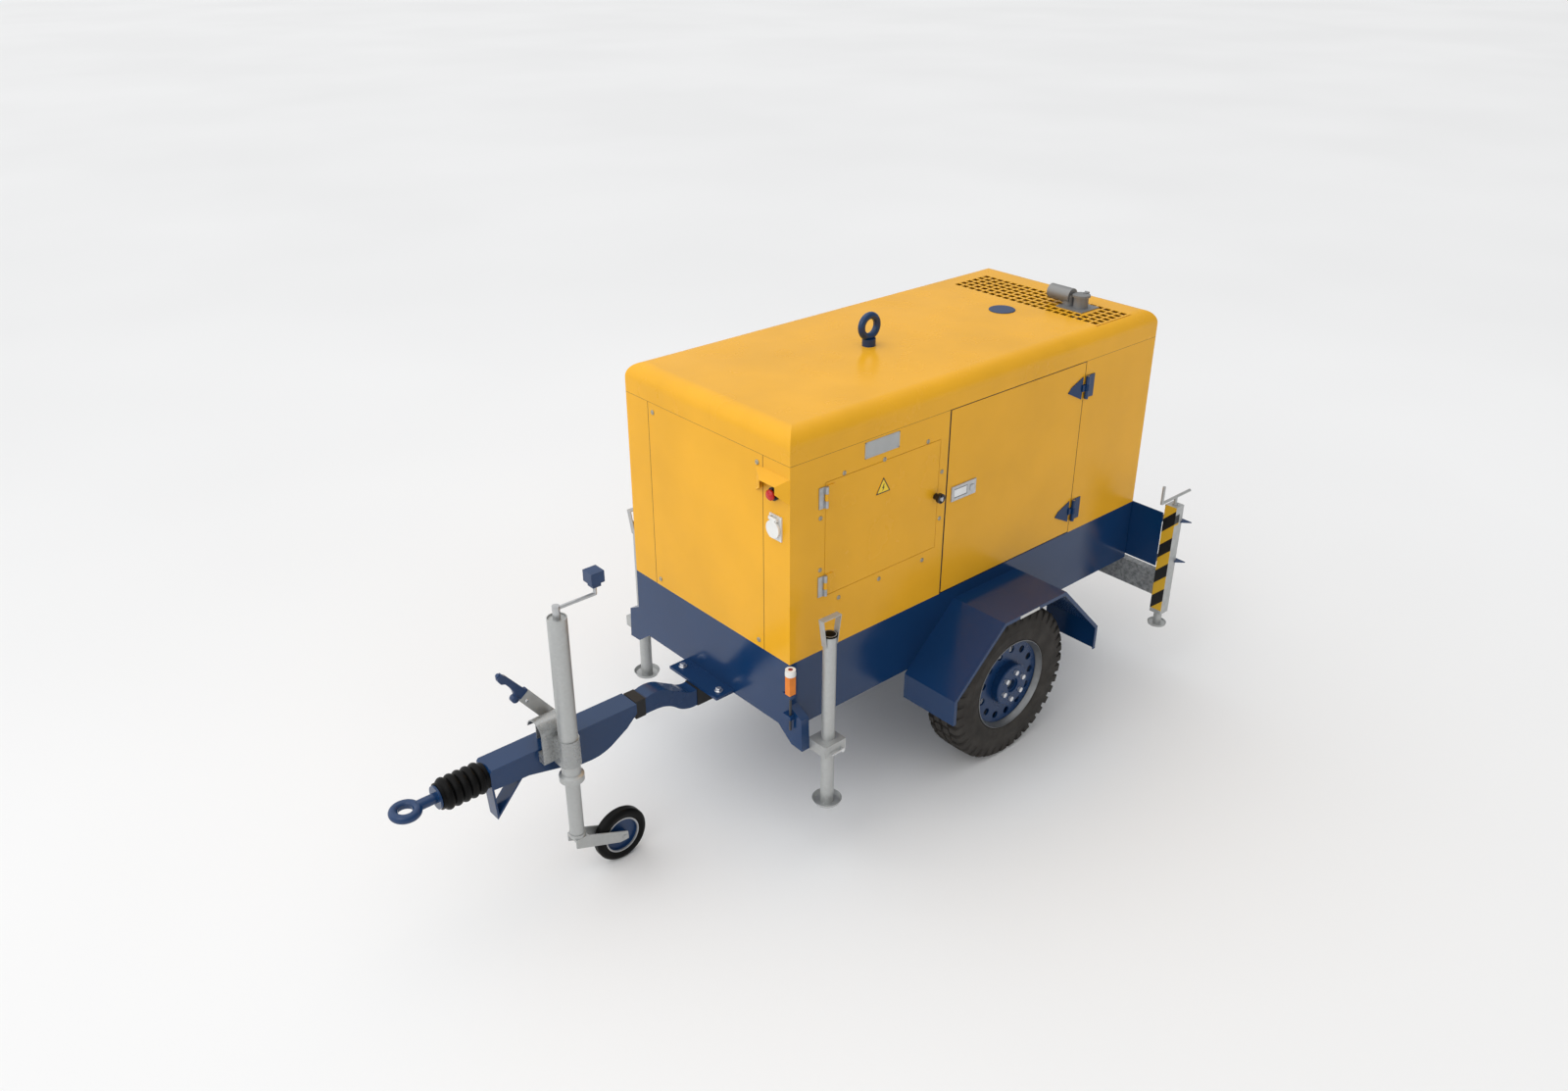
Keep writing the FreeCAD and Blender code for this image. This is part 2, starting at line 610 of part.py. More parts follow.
def canopy_walls():
    """Folded corner panels with flat panels between them; the long sides leave the door gap."""
    height = S.roof_seam - S.canopy_base
    length, middle, thin = S.canopy_length, S.centre_panel_half, S.sheet
    walls = []
    for side in (-1, 1):
        face = -HALF if side < 0 else HALF - thin
        for front, back, edge in ((0, S.door_front - 8, 0),
                                  (S.door_rear + 4, length, length - thin)):
            skin = box((front, face, S.canopy_base), (back - front, "dims.sheet", height))
            strip_start = -HALF if side < 0 else middle + 1
            corner = box((edge, strip_start, S.canopy_base), ("dims.sheet", HALF - middle - 1, height))
            walls.append(fused(skin, corner))
    opening = box((S.control_front - 2, -HALF - 5, S.control_base - 2),
                  (S.control_rear - S.control_front + 4, 20,
                   S.control_top - S.control_base + 4))
    walls[0] = cut(walls[0], opening)
    rear = box((length - thin, -middle, S.canopy_base), ("dims.sheet", 2 * middle, height))
    slots = [box((length - 20, -260, z), (40, 520, 14)) for z in range(900, 1500, 40)]
    front = box((0, -middle, S.canopy_base), ("dims.sheet", "2 * dims.centre_panel_half",
                                              "dims.roof_seam - dims.canopy_base"))
    return group(*walls, cut(rear, *slots), front, name="canopy_walls")


def roof_shell(inset, drop):
    """A block with rounded upper edges, inset from the roof's outer faces."""
    block = box((inset, inset - HALF, S.roof_seam - drop),
                (S.canopy_length - 2 * inset, S.canopy_width - 2 * inset,
                 S.roof_top - S.roof_seam + drop - inset), name="roof_block")
    doc.recompute()
    top = S.roof_top - inset
    edges = []
    for number, edge in enumerate(block.Shape.Edges, start=1):
        if all(abs(vertex.Z - top) < 1e-6 for vertex in edge.Vertexes):
            edges.append((number, S.roof_radius - inset, S.roof_radius - inset))
    rounded = doc.addObject("Part::Fillet", "rounded_roof")
    rounded.Base = block
    rounded.Edges = edges
    return rounded


def roof_cap():
    """Rounded roof shell with the air-outlet grille let into it."""
    thin = S.sheet
    shell = cut(roof_shell(0, 0), roof_shell(thin, 10))
    length = S.grille_rear - S.grille_front
    width = S.grille_right - S.grille_left
    well = box((S.grille_front, S.grille_left, S.roof_top - 20), (length, width, 40))
    eye_hole = rod((S.eye_x, 0, S.roof_top - 20), Z_AXIS, 12, 40)
    filler = rod((S.filler_x, S.filler_y, S.roof_top - 20), Z_AXIS, S.filler_radius - 3, 40)
    beam = box((S.eye_x - 40, -HALF + 70, S.roof_top - thin - 60), (80, 2 * HALF - 140, 60))
    roof = cut(shell, well, eye_hole, filler)
    grille = box((S.grille_front, S.grille_left, S.roof_top - thin), (length, width, "dims.sheet"))
    rows, columns, bar = 6, 20, 10
    row_pitch = (length - bar) / rows
    column_pitch = (width - bar) / columns
    holes = []
    for row in range(rows):
        for column in range(columns):
            x = S.grille_front + bar + row * row_pitch
            y = S.grille_left + bar + column * column_pitch
            middle = math.hypot(x + row_pitch / 2 - bar / 2 - S.exhaust_x,
                                y + column_pitch / 2 - bar / 2 - S.exhaust_y)
            if middle > 70:
                holes.append(box((x, y, S.roof_top - 20), (row_pitch - bar, column_pitch - bar, 40)))
    holes.append(rod((S.exhaust_x, S.exhaust_y, S.roof_top - 20), Z_AXIS,
                     S.exhaust_radius + 1, 40))
    return group(roof, cut(grille, *holes), beam, name="roof_cap")


def lifting_eye():
    """Forged ring on a round collar, screwed into the lifting beam."""
    top = S.roof_top
    ring = torus((S.eye_x, 0, top + 80), Y_AXIS, 43, 15)
    land = rod((S.eye_x, -30, top + 80), Y_AXIS, "dims.lift_hole_radius", 60)
    collar = rod((S.eye_x, 0, top), Z_AXIS, 28, 30)
    shank = rod((S.eye_x, 0, top - 3), Z_AXIS, 11, 4)
    return cut(fused(ring, collar, shank), land, name="lifting_eye")


def filler_cap():
    """Round cap over the radiator filler: a thin head and a plug."""
    steps = [(0, -16), (44, -16), (S.filler_radius - 3.4, -12), (S.filler_radius - 3.4, 0.3),
             (S.filler_radius, 0.3), (S.filler_radius, 2), (S.filler_radius - 3, 4), (0, 4)]
    return turned("filler_cap", steps, (S.filler_x, S.filler_y, S.roof_top), Z_AXIS)


def exhaust():
    """Silencer, riser and side-facing elbow, on a plate over the grille."""
    x, y, top, radius = S.exhaust_x, S.exhaust_y, S.roof_top, S.exhaust_radius
    flange = box((x - 62, y - 55, top), (124, 140, 5))
    riser = rod((x, y, 1560), Z_AXIS, "dims.exhaust_radius", top + 58 - 1560)
    rim = rod((x, y, top + 52), Z_AXIS, radius + 7, 6)
    elbow_foot = rod((x - 6, y + 60, top + 2), Z_AXIS, 26, 50)
    elbow = rod((x - 6, y + 42, top + 46), Y_AXIS, 33, 116)
    bore = rod((x, y, top), Z_AXIS, radius - 4, 70)
    elbow_bore = rod((x - 6, y + 70, top + 46), Y_AXIS, 29, 100)
    outlet = cut(fused(flange, riser, rim, elbow_foot, elbow), bore, elbow_bore)
    silencer = rod((x - 15, -330, 1530), Y_AXIS, 65, 560)
    crossover = rod((x - 15, 90, 1592), (-1, 0, 0), 25, 380)
    downpipe = rod((1500, 90, 1370), Z_AXIS, 25, 235)
    return fused(outlet, silencer, crossover, downpipe, name="exhaust")


def rain_cap():
    """Flat flap over the riser, tilted up on its hinge at the rear."""
    x, y, top = S.exhaust_x, S.exhaust_y, S.roof_top + 58.4
    flap = rod((x, y, top), Z_AXIS, S.exhaust_radius + 6, 3)
    knuckle = rod((x + S.exhaust_radius + 6, y - 10, top + 5), Y_AXIS, 5, 20)
    web = box((x + 20, y - 8, top), (S.exhaust_radius - 14, 16, 6))
    return fused(flap, knuckle, web, name="rain_cap")


def control_door():
    """Flat door over the control panel, with its warning triangle and two hinge leaves."""
    length = S.control_rear - S.control_front
    height = S.control_top - S.control_base
    skin = box((S.control_front, -HALF, S.control_base), (length, "dims.sheet", height))
    latch = rod((752, -HALF - 5, 1283), Y_AXIS, "7 + dims.bore_clearance", 20)
    corners = [(421, 1389), (497, 1389), (459, 1453)]
    triangle = plate("triangle", "XZ_Plane", corners, 1.5, -HALF - 1.5)
    parts = [cut(skin, latch), triangle]
    for low in (1062, 1422):
        leaf = box((S.control_front + 8, -HALF - 4, low), (32, 4, 83))
        pin_x, pin_y = S.control_front - 2, -HALF - 7.4
        knuckle = cut(fused(rod((pin_x, pin_y, low + 28), Z_AXIS, 7, 27),
                            box((pin_x, pin_y + 1, low + 28), (12, 6.4, 27))),
                      rod((pin_x, pin_y, low - 5), Z_AXIS, "3.5 + dims.bore_clearance", 95))
        parts += [leaf, knuckle]
    return fused(*parts, name="control_door")


def control_latch():
    """Quarter-turn latch: knob, stem and the cam behind the door."""
    centre = (752, -HALF, 1283)
    knob = rod((centre[0], -HALF - 34, centre[2]), Y_AXIS, 20, 14)
    wing = box((centre[0] - 4, -HALF - 38, centre[2] - 16), (8, 6, 32))
    stem = rod((centre[0], -HALF - 22, centre[2]), Y_AXIS, 13, 21.5)
    shaft = rod((centre[0], -HALF - 2, centre[2]), Y_AXIS, 7, 22)
    cam = box((centre[0] - 8, -HALF + 8, centre[2] - 26), (16, 4, 34))
    return fused(knob, wing, stem, shaft, cam, name="control_latch")


def service_door(side):
    """Full-height side door with folded edges, strap hinge leaves and a lock plate."""
    length = S.door_rear - S.door_front
    height = S.door_top - S.door_base
    thin, fold = S.sheet, S.door_fold

    def placed(x, depth, z, size):
        """A box set in from the door's outer face by a depth."""
        start = -HALF + depth if side < 0 else HALF - depth - size[1]
        return box((x, start, z), size)
    skin = cut(placed(S.door_front, 0, S.door_base, (length, fold, height)),
               placed(S.door_front + thin, thin, S.door_base + thin,
                      (length - 2 * thin, fold, height - 2 * thin)))
    parts = [skin]
    pin_x, pin_y = S.door_rear + 10, side * (HALF + 9.5)
    for low in (884, 1460):
        outline = [(1540, low + 48), (1560, low + 38), (1634, low), (1634, low + 100),
                   (1560, low + 70)]
        start = -HALF - 4 if side < 0 else HALF
        parts.append(plate("strap_leaf", "XZ_Plane", outline, 4, start))
        knuckle = rod((pin_x, pin_y, low + 36), Z_AXIS, 9, 28)
        neck_start = -HALF - 9 if side < 0 else HALF + 0.5
        neck = box((1630, neck_start, low + 36), (pin_x - 1630, 8.5, 28))
        bore = rod((pin_x, pin_y, low - 5), Z_AXIS, "dims.hinge_pin_radius + dims.hinge_gap", 120)
        parts.append(cut(fused(knuckle, neck), bore))
    lock_plate = placed(842, -6, 1230, (143, 6, 63))
    barrel = placed(949, -9, 1251, (22, 9, 22))
    pocket = placed(858, -10, 1242, (76, 20, 39))
    pin_bore = rod((849, side * (HALF + 3), 1276), X_AXIS, "2.5 + dims.bore_clearance", 94)
    return cut(fused(*parts, lock_plate, barrel), pocket, pin_bore, name="service_door")


def door_handle(side):
    """Lift paddle in the lock plate, hinged along its upper edge, and its latch tongue."""
    y = side * (HALF + 3)
    pin = rod((850, y, 1276), X_AXIS, 2.5, 92)
    start = -HALF - 4 if side < 0 else HALF + 1
    paddle = box((859, start, 1244), (74, 3, 32))
    tongue_start = -HALF - 2 if side < 0 else HALF - 24
    tongue = box((886, tongue_start, 1264), (20, 26, 9))
    return fused(pin, paddle, tongue, name="door_handle")


def hinge_leaves():
    """Fixed hinge leaves and pins of the two service doors and the control door."""
    leaves = []
    for side in (-1, 1):
        pin_x, pin_y = S.door_rear + 10, side * (HALF + 9.5)
        for low in (884, 1460):
            leaf_start = -HALF - 4 if side < 0 else HALF
            leaf = box((S.door_rear + 22, leaf_start, low), (42, 4, 100))
            pin = rod((pin_x, pin_y, low), Z_AXIS, "dims.hinge_pin_radius", 100)
            for height in (low, low + 64.5):
                neck_start = -HALF - 8 if side < 0 else HALF
                neck = box((pin_x, neck_start, height), (16, 8, 35.5))
                leaf = fused(leaf, neck, rod((pin_x, pin_y, height), Z_AXIS, 9, 35.5))
            leaves.append(fused(leaf, pin))
    for low in (1062, 1422):
        pin_x, pin_y = S.control_front - 2, -HALF - 7.4
        leaf = box((S.control_front - 35, -HALF - 4, low), (26, 4, 83))
        parts = [leaf, rod((pin_x, pin_y, low), Z_AXIS, 3.5, 83)]
        for height in (low, low + 55.5):
            parts.append(rod((pin_x, pin_y, height), Z_AXIS, 7, 27.5))
            parts.append(box((pin_x - 11, -HALF - 6, height), (11, 6, 27.5)))
        leaves.append(fused(*parts))
    return group(*leaves, name="hinge_leaves")


# ---------------------------------------------------------------- fittings

def estop_hood():
    """Flared sheet hood over the emergency stop, open at the front and underneath."""
    outside = frustum((-486, 1479, -304, 1578), (-449, 1518, -365, 1548), 36)
    inside = frustum((-483, 1470, -307, 1575.5), (-446, 1509, -368, 1545.5), 37)
    base = rod((-10, S.stop_y, S.stop_height), X_AXIS, 25, 10)
    bore = rod((-20, S.stop_y, S.stop_height), X_AXIS, 11.05, 21)
    return group(cut(outside, inside), cut(base, bore), name="estop_hood")


def estop_button():
    """Mushroom head on its stem."""
    steps = [(0, -3), (11, -3), (11, 6), (18, 6), (20, 9), (20, 15), (15, 20), (0, 22)]
    return turned("estop_button", steps, (-10, S.stop_y, S.stop_height), (-1, 0, 0))


def socket_plate():
    """Mounting plate with the round socket body and the ears of its lid."""
    y, z = S.socket_y, S.socket_height
    face = box((-6, y - 32, z - 45), (6, 64, 96))
    body = rod((-14, y, z), X_AXIS, 30, 10)
    mouth = rod((-15, y, z), X_AXIS, 24, 12)
    ears = [box((-20, y + offset, z + 34), (16, 5, 13)) for offset in (-22, 17)]
    pin = rod((-16, y - 22, S.lid_pin_height), Y_AXIS, 2.5, 44)
    contacts = [rod((-12, y + 11 * math.cos(angle), z + 11 * math.sin(angle)), X_AXIS, 2.5, 10)
                for angle in (math.pi / 2, math.pi * 7 / 6, math.pi * 11 / 6)]
    return fused(cut(fused(face, body), mouth), pin, *ears, *contacts, name="socket_plate")


def socket_lid():
    """Round spring lid over the socket, hinged at the top."""
    y, z = S.socket_y, S.socket_height
    disc = rod((-20.5, y, z), X_AXIS, 34, 6)
    knuckle = rod((-16, y - 16.5, S.lid_pin_height), Y_AXIS, 5, 33)
    web = box((-20.5, y - 12, z + 28), (6, 24, 14))
    bore = rod((-16, y - 30, S.lid_pin_height), Y_AXIS, 2.55, 60)
    return cut(fused(disc, knuckle, web), bore, name="socket_lid")


def fasteners():
    """Domed screws of the canopy panels and the hexagon bolts of the drawbar plate."""
    screws = []
    side_screws = ((258, 1529), (462, 1523), (693, 1529), (781, 1379), (783, 1177), (695, 1022),
                   (455, 1025), (243, 1023), (145, 1385), (146, 1174))
    for x, z in side_screws:
        screws.append(rod((x, -HALF - 4, z), Y_AXIS, 9, 4))
    for y in (-313, 313):
        for z in (855, 1588):
            screws.append(rod((-5, y, z), X_AXIS, 10, 5))
    for y in (-118, 118):
        washer = rod((-49, y, 545), Z_AXIS, 17, 3)
        head = rod((-49, y, 548), Z_AXIS, 13, 10)
        screws.append(fused(washer, head))
    return group(*screws, name="fasteners")


def signs():
    """Blank name plate and the fender reflectors."""
    plate_face = box((359, -HALF - 1.5, 1552), (177, 1.5, 64))
    strips = [box((1000, side * S.fender_edge - (2 if side < 0 else 0), S.fender_top - 15),
                  (120, 2, 12)) for side in (-1, 1)]
    return group(plate_face, *strips, name="signs")


def earth_rod():
    """Earthing stake with an orange grip and a white striking cap."""
    stake = rod((-12, -507, 548), Z_AXIS, 5, 175)
    grip = box((-27, -520, 711), (30, 26, 84))
    collar = rod((-12, -507, 795), Z_AXIS, 21, 13)
    cap = rod((-12, -507, 808), Z_AXIS, 20, 12)
    return fused(stake, grip, collar, cap, name="earth_rod")


# ---------------------------------------------------------------- generating set

def engine_block():
    """Four-cylinder block, head, sump and filter, on rubber mounts."""
    axis = S.crank_height
    block = box((1010, -170, axis - 90), (560, 340, 360))
    sump = box((1040, -130, axis - 230), (500, 260, 140))
    head = box((1030, -120, axis + 270), (520, 240, 90))
    feet = [box((x, side * 230 - 60, axis - 170), (80, 120, 20)) for side in (-1, 1) for x in (1080, 1420)]
    webs = [box((x, min(side * 130, side * 240), axis - 150), (80, 110, 90))
            for side in (-1, 1) for x in (1080, 1420)]
    mounts = [rod((x + 40, side * 230, 605), Z_AXIS, 30, axis - 170 - 605)
              for side in (-1, 1) for x in (1080, 1420)]
    bore = rod((1000, 0, axis), X_AXIS, 40.05, 600)
    air_filter = rod((1180, 265, axis + 300), X_AXIS, 80, 260)
    pipe = rod((1310, 265, axis + 315), (0, -1, 0), 30, 160)
    engine = cut(fused(block, sump, head, *feet, *webs, air_filter, pipe), bore)
    return group(engine, *mounts, name="engine_block")


def alternator():
    """Finned housing round the rotor, on its own feet."""
    axis = S.crank_height
    body = rod((420, 0, axis), X_AXIS, 230, 560)
    core = rod((440, 0, axis), X_AXIS, 176, 521)
    bore = rod((410, 0, axis), X_AXIS, 40.05, 580)
    box_top = box((480, -150, axis + 190), (300, 300, 130))
    feet = [box((x, side * 230 - 40, 605), (70, 80, axis - 140 - 605)) for side in (-1, 1) for x in (480, 860)]
    webs = [box((x, min(side * 120, side * 240), axis - 190), (70, 120, 60))
            for side in (-1, 1) for x in (480, 860)]
    return cut(fused(body, box_top, *feet, *webs), core, bore, name="alternator")


def crankshaft():
    """Shaft, rotor and the fan-drive pulley, turning as one."""
    axis = S.crank_height
    shaft = rod((412, 0, axis), X_AXIS, 40, 1190)
    rotor = rod((460, 0, axis), X_AXIS, 128, 420)
    pulley = cut(rod((1574, 0, axis), X_AXIS, 80, 26),
                 cut(rod((1581, 0, axis), X_AXIS, 90, 12), rod((1581, 0, axis), X_AXIS, 68, 12)))
    return fused(shaft, rotor, pulley, name="crankshaft")


def cooling_fan():
    """Eight-bladed pusher fan with its pulley, above the crankshaft."""
    height = S.crank_height + S.fan_rise
    hub = rod((1600, 0, height), X_AXIS, 50, 60)
    groove = cut(rod((1581, 0, height), X_AXIS, 70, 12), rod((1581, 0, height), X_AXIS, 48, 12))
    pulley = cut(rod((1575, 0, height), X_AXIS, 60, 24), groove)
    blades = []
    for index in range(8):
        blade = box((-20, -30, 40), (40, 60, 165), name="blade")
        turn = Rotation(X_AXIS, 45 * index)
        pitch = Rotation(Z_AXIS, 60)
        blade.Placement = Placement(at(1630, 0, height), turn).multiply(
            Placement(Vector(0, 0, 0), pitch)).multiply(Placement(Vector(-2, -28, 40), Rotation()))
        bind(blade, "Length", 4)
        bind(blade, "Width", 56)
        blades.append(blade)
    return fused(hub, pulley, rod((1575, 0, height), X_AXIS, 14, 60), *blades, name="cooling_fan")


def fan_belt():
    """V-belt round the crankshaft pulley and the fan pulley."""
    low, high = S.crank_height, S.crank_height + S.fan_rise
    small, large, thick = 48.3, 68.3, 6
    lean = math.asin((large - small) / S.fan_rise)

    def loop(extra, start, width):
        big, little = large + extra, small + extra
        across, along = math.cos(lean), math.sin(lean)
        steps = [(big * across, low + big * along), (little * across, high + little * along),
                 ((0, high + little), (-little * across, high + little * along)),
                 (-big * across, low + big * along),
                 ((0, low - big), (big * across, low + big * along))]
        return plate("loop", "YZ_Plane", steps, width, start)
    return cut(loop(thick, 1582, 10), loop(0, 1580, 14), name="fan_belt")


def radiator():
    """Radiator with its fan cowl, in front of the duct to the roof grille."""
    core = box((1730, -330, 700), (60, 660, 800))
    header = box((1722, -330, 1500), (76, 660, 60))
    cowl = cut(box((1650, -330, 860), (80, 660, 680)),
               rod((1640, 0, S.crank_height + S.fan_rise), X_AXIS, 235, 90))
    legs = [box((1730, y, 605), (60, 60, 95)) for y in (-290, 230)]
    return fused(core, header, cowl, *legs, name="radiator")


def fuel_tank():
    """Flat tank between the tray's rails."""
    body = box((80, -190, 540), (800, 380, 130))
    neck = rod((200, -120, 665), Z_AXIS, 30, 40)
    return fused(body, neck, name="fuel_tank")


def battery():
    """Starter battery with two terminals."""
    case = box((1930, 265, 535), (175, 205, 190))
    posts = [rod((2017, y, 725), Z_AXIS, 8, 14) for y in (295, 440)]
    return fused(case, *posts, name="battery")


def control_panel():
    """Instrument panel and switchgear box behind the control door."""
    back = box((200, -440, 1080), (500, 150, 420))
    dials = [rod((x, -452, 1400), Y_AXIS, 28, 14) for x in (260, 340, 420)]
    screen = box((480, -448, 1370), (120, 10, 70))
    breaker = box((480, -456, 1200), (90, 18, 120))
    stand = box((260, -380, 829), (380, 60, 251))
    return fused(back, *dials, screen, breaker, stand, name="control_panel")


# ---------------------------------------------------------------- assembly

piece("chassis_frame", chassis_frame())
piece("rear_crossmember", rear_crossmember())
piece("axle_beam", axle_beam())
piece("fenders", fenders())
piece("drawbar_arm", drawbar_arm())
piece("overrun_housing", overrun_housing())
piece("tow_eye", tow_eye())
piece("bellows", bellows())
piece("handbrake_lever", handbrake_lever())
piece("handbrake_button", handbrake_button())
piece("jockey_clamp", jockey_clamp())
piece("jockey_tube", jockey_tube())
piece("jockey_inner_tube", jockey_inner_tube())
piece("jockey_crank", jockey_crank())
piece("jockey_fork", jockey_fork())
piece("jockey_tyre", jockey_tyre())
piece("jockey_wheel", jockey_wheel())
piece("stand_clamps", stand_clamps())
piece("rear_stand_frame", rear_stand_frame())
piece("canopy_walls", canopy_walls())
piece("roof_cap", roof_cap())
piece("lifting_eye", lifting_eye())
piece("filler_cap", filler_cap())
piece("exhaust", exhaust())
piece("rain_cap", rain_cap())
piece("control_door", control_door())
piece("control_latch", control_latch())
piece("hinge_leaves", hinge_leaves())
piece("estop_hood", estop_hood())
piece("estop_button", estop_button())
piece("socket_plate", socket_plate())
piece("socket_lid", socket_lid())
piece("fasteners", fasteners())
piece("signs", signs())
piece("earth_rod", earth_rod())
piece("engine_block", engine_block())
piece("alternator", alternator())
piece("crankshaft", crankshaft())
piece("cooling_fan", cooling_fan())
piece("fan_belt", fan_belt())
piece("radiator", radiator())
piece("fuel_tank", fuel_tank())
piece("battery", battery())
piece("control_panel", control_panel())
for word, sign in SIDES.items():
    piece(word + "_tyre", tyre(sign))
    piece(word + "_wheel", wheel(sign))
    piece(word + "_front_leg", front_leg(sign))
    piece(word + "_clamp_lever", clamp_lever(sign))
    piece(word + "_rear_leg", rear_leg(sign))
    piece(word + "_rear_crank", rear_crank(sign))
    piece(word + "_service_door", service_door(sign))
    piece(word + "_door_handle", door_handle(sign))

doc.recompute()
for obj in doc.Objects:
    if "Invalid" in obj.State or "Error" in obj.State:
        raise RuntimeError(f"{obj.Name} failed: {obj.State}")
os.makedirs("parts", exist_ok=True)
for label, obj in pieces.items():
    if obj.Shape.isNull() or not obj.Shape.isValid():
        raise RuntimeError(f"{label} has no valid shape")
    obj.Shape.exportStep(f"parts/{label}.step")
bounds = FreeCAD.BoundBox()
for obj in pieces.values():
    bounds.add(obj.Shape.BoundBox)
print(len(pieces), "pieces", bounds)
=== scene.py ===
"""Looks of the towable diesel generator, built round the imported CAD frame.

Metres, +Z up, towed towards -X, control side -Y.
"""

import json
import math

import bmesh
import bpy
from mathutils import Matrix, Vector


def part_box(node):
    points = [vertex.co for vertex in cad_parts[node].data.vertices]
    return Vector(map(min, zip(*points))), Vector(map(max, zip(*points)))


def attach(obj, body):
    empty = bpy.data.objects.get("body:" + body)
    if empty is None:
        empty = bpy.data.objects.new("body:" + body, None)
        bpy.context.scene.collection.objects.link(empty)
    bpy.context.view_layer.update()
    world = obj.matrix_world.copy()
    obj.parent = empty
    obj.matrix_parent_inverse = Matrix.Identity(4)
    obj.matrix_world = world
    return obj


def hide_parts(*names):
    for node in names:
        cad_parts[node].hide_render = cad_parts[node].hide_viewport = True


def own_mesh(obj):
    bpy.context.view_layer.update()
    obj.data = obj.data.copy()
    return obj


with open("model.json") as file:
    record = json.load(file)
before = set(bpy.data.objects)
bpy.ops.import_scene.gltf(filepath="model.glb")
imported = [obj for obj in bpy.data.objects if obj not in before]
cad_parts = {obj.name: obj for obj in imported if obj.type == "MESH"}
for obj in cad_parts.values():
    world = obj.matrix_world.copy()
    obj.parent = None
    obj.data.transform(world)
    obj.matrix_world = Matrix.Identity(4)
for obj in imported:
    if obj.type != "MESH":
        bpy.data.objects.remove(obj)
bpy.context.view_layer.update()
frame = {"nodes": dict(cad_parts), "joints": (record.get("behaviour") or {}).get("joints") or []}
joints = {joint["name"]: joint for joint in frame["joints"]}
MM = 0.001


# ---------------------------------------------------------------- node materials

class Shader:
    """A Principled material that is put together from procedural nodes."""

    def __init__(self, name):
        self.material = bpy.data.materials.new(name)
        self.material.use_nodes = True
        self.tree = self.material.node_tree
        self.surface = self.tree.nodes["Principled BSDF"]
        self.place = self.node("ShaderNodeTexCoord").outputs["Object"]
        split = self.node("ShaderNodeSeparateXYZ")
        self.link(self.place, split.inputs[0])
        self.x, self.y, self.z = split.outputs

    def node(self, kind):
        return self.tree.nodes.new(kind)

    def link(self, source, target):
        self.tree.links.new(source, target)

    def put(self, socket, value):
        if isinstance(value, bpy.types.NodeSocket):
            self.link(value, socket)
        else:
            socket.default_value = value

    def math(self, operation, first, second=0.0, third=0.0):
        node = self.node("ShaderNodeMath")
        node.operation = operation
        for socket, value in zip(node.inputs, (first, second, third)):
            self.put(socket, value)
        return node.outputs[0]

    def above(self, value, limit):
        return self.math("GREATER_THAN", value, limit)

    def below(self, value, limit):
        return self.math("LESS_THAN", value, limit)

    def both(self, *masks):
        mask = masks[0]
        for other in masks[1:]:
            mask = self.math("MULTIPLY", mask, other)
        return mask

    def noise(self, scale, detail=3.0, roughness=0.5, stretch=(1, 1, 1)):
        mapping = self.node("ShaderNodeMapping")
        mapping.inputs["Scale"].default_value = stretch
        self.link(self.place, mapping.inputs[0])
        node = self.node("ShaderNodeTexNoise")
        self.link(mapping.outputs[0], node.inputs["Vector"])
        node.inputs["Scale"].default_value = scale
        node.inputs["Detail"].default_value = detail
        node.inputs["Roughness"].default_value = roughness
        return node.outputs["Fac"]

    def cells(self, scale):
        node = self.node("ShaderNodeTexVoronoi")
        self.link(self.place, node.inputs["Vector"])
        node.inputs["Scale"].default_value = scale
        return node.outputs["Color"]

    def ramp(self, value, low, high, start=0.0, end=1.0):
        node = self.node("ShaderNodeMapRange")
        for socket, amount in zip(node.inputs, (value, start, end, low, high)):
            self.put(socket, amount)
        return node.outputs[0]

    def mix(self, mask, first, second):
        node = self.node("ShaderNodeMix")
        node.data_type = "RGBA"
        self.put(node.inputs[0], mask)
        for socket, colour in ((node.inputs[6], first), (node.inputs[7], second)):
            self.put(socket, colour if isinstance(colour, bpy.types.NodeSocket) else (*colour, 1))
        return node.outputs[2]

    def bump(self, height, distance, strength=1.0):
        node = self.node("ShaderNodeBump")
        node.inputs["Strength"].default_value = strength
        node.inputs["Distance"].default_value = distance
        self.link(height, node.inputs["Height"])
        self.link(node.outputs[0], self.surface.inputs["Normal"])

    def finish(self, colour, roughness, metallic=0.0, coat=0.0, specular=0.5):
        self.put(self.surface.inputs["Base Color"], colour)
        self.put(self.surface.inputs["Roughness"], roughness)
        self.put(self.surface.inputs["Metallic"], metallic)
        self.surface.inputs["Specular IOR Level"].default_value = specular
        if coat:
            self.surface.inputs["Coat Weight"].default_value = coat
            self.surface.inputs["Coat Roughness"].default_value = 0.12
        return self.material


PANEL_SEAM = 0.3435     # from the centre line to the edge of a folded corner panel
YELLOW = (0.84, 0.42, 0.02)
BLUE = (0.004, 0.033, 0.11)
ZINC = (0.47, 0.48, 0.475)
BLACK = (0.006, 0.006, 0.007)
SKY_LOW, SKY_HIGH = 0.4, 1.5        # the sky's strength at its darkest and brightest
SKY_LEAN = (-0.5, 0.35, 0.79)       # towards the brightest part of the sky


def shades(shader, colour, spread, scale=3.0):
    """A colour that drifts a little lighter and darker over the surface."""
    light = tuple(min(1.0, part * (1 + spread)) for part in colour)
    dark = tuple(part * (1 - spread) for part in colour)
    return shader.mix(shader.ramp(shader.noise(scale, 4), 0, 1, 0.3, 0.7), dark, light)


def painted(name, colour, roughness=0.32, coat=0.0, peel=0.00025, specular=0.3):
    """Sprayed paint: slow drifts of shade, orange peel and fine dust in the gloss."""
    shader = Shader(name)
    shader.bump(shader.noise(420, 2), peel, 0.25)
    gloss = shader.ramp(shader.noise(7, 5), roughness - 0.05, roughness + 0.09, 0.3, 0.7)
    return shader.finish(shades(shader, colour, 0.06), gloss, coat=coat, specular=specular)


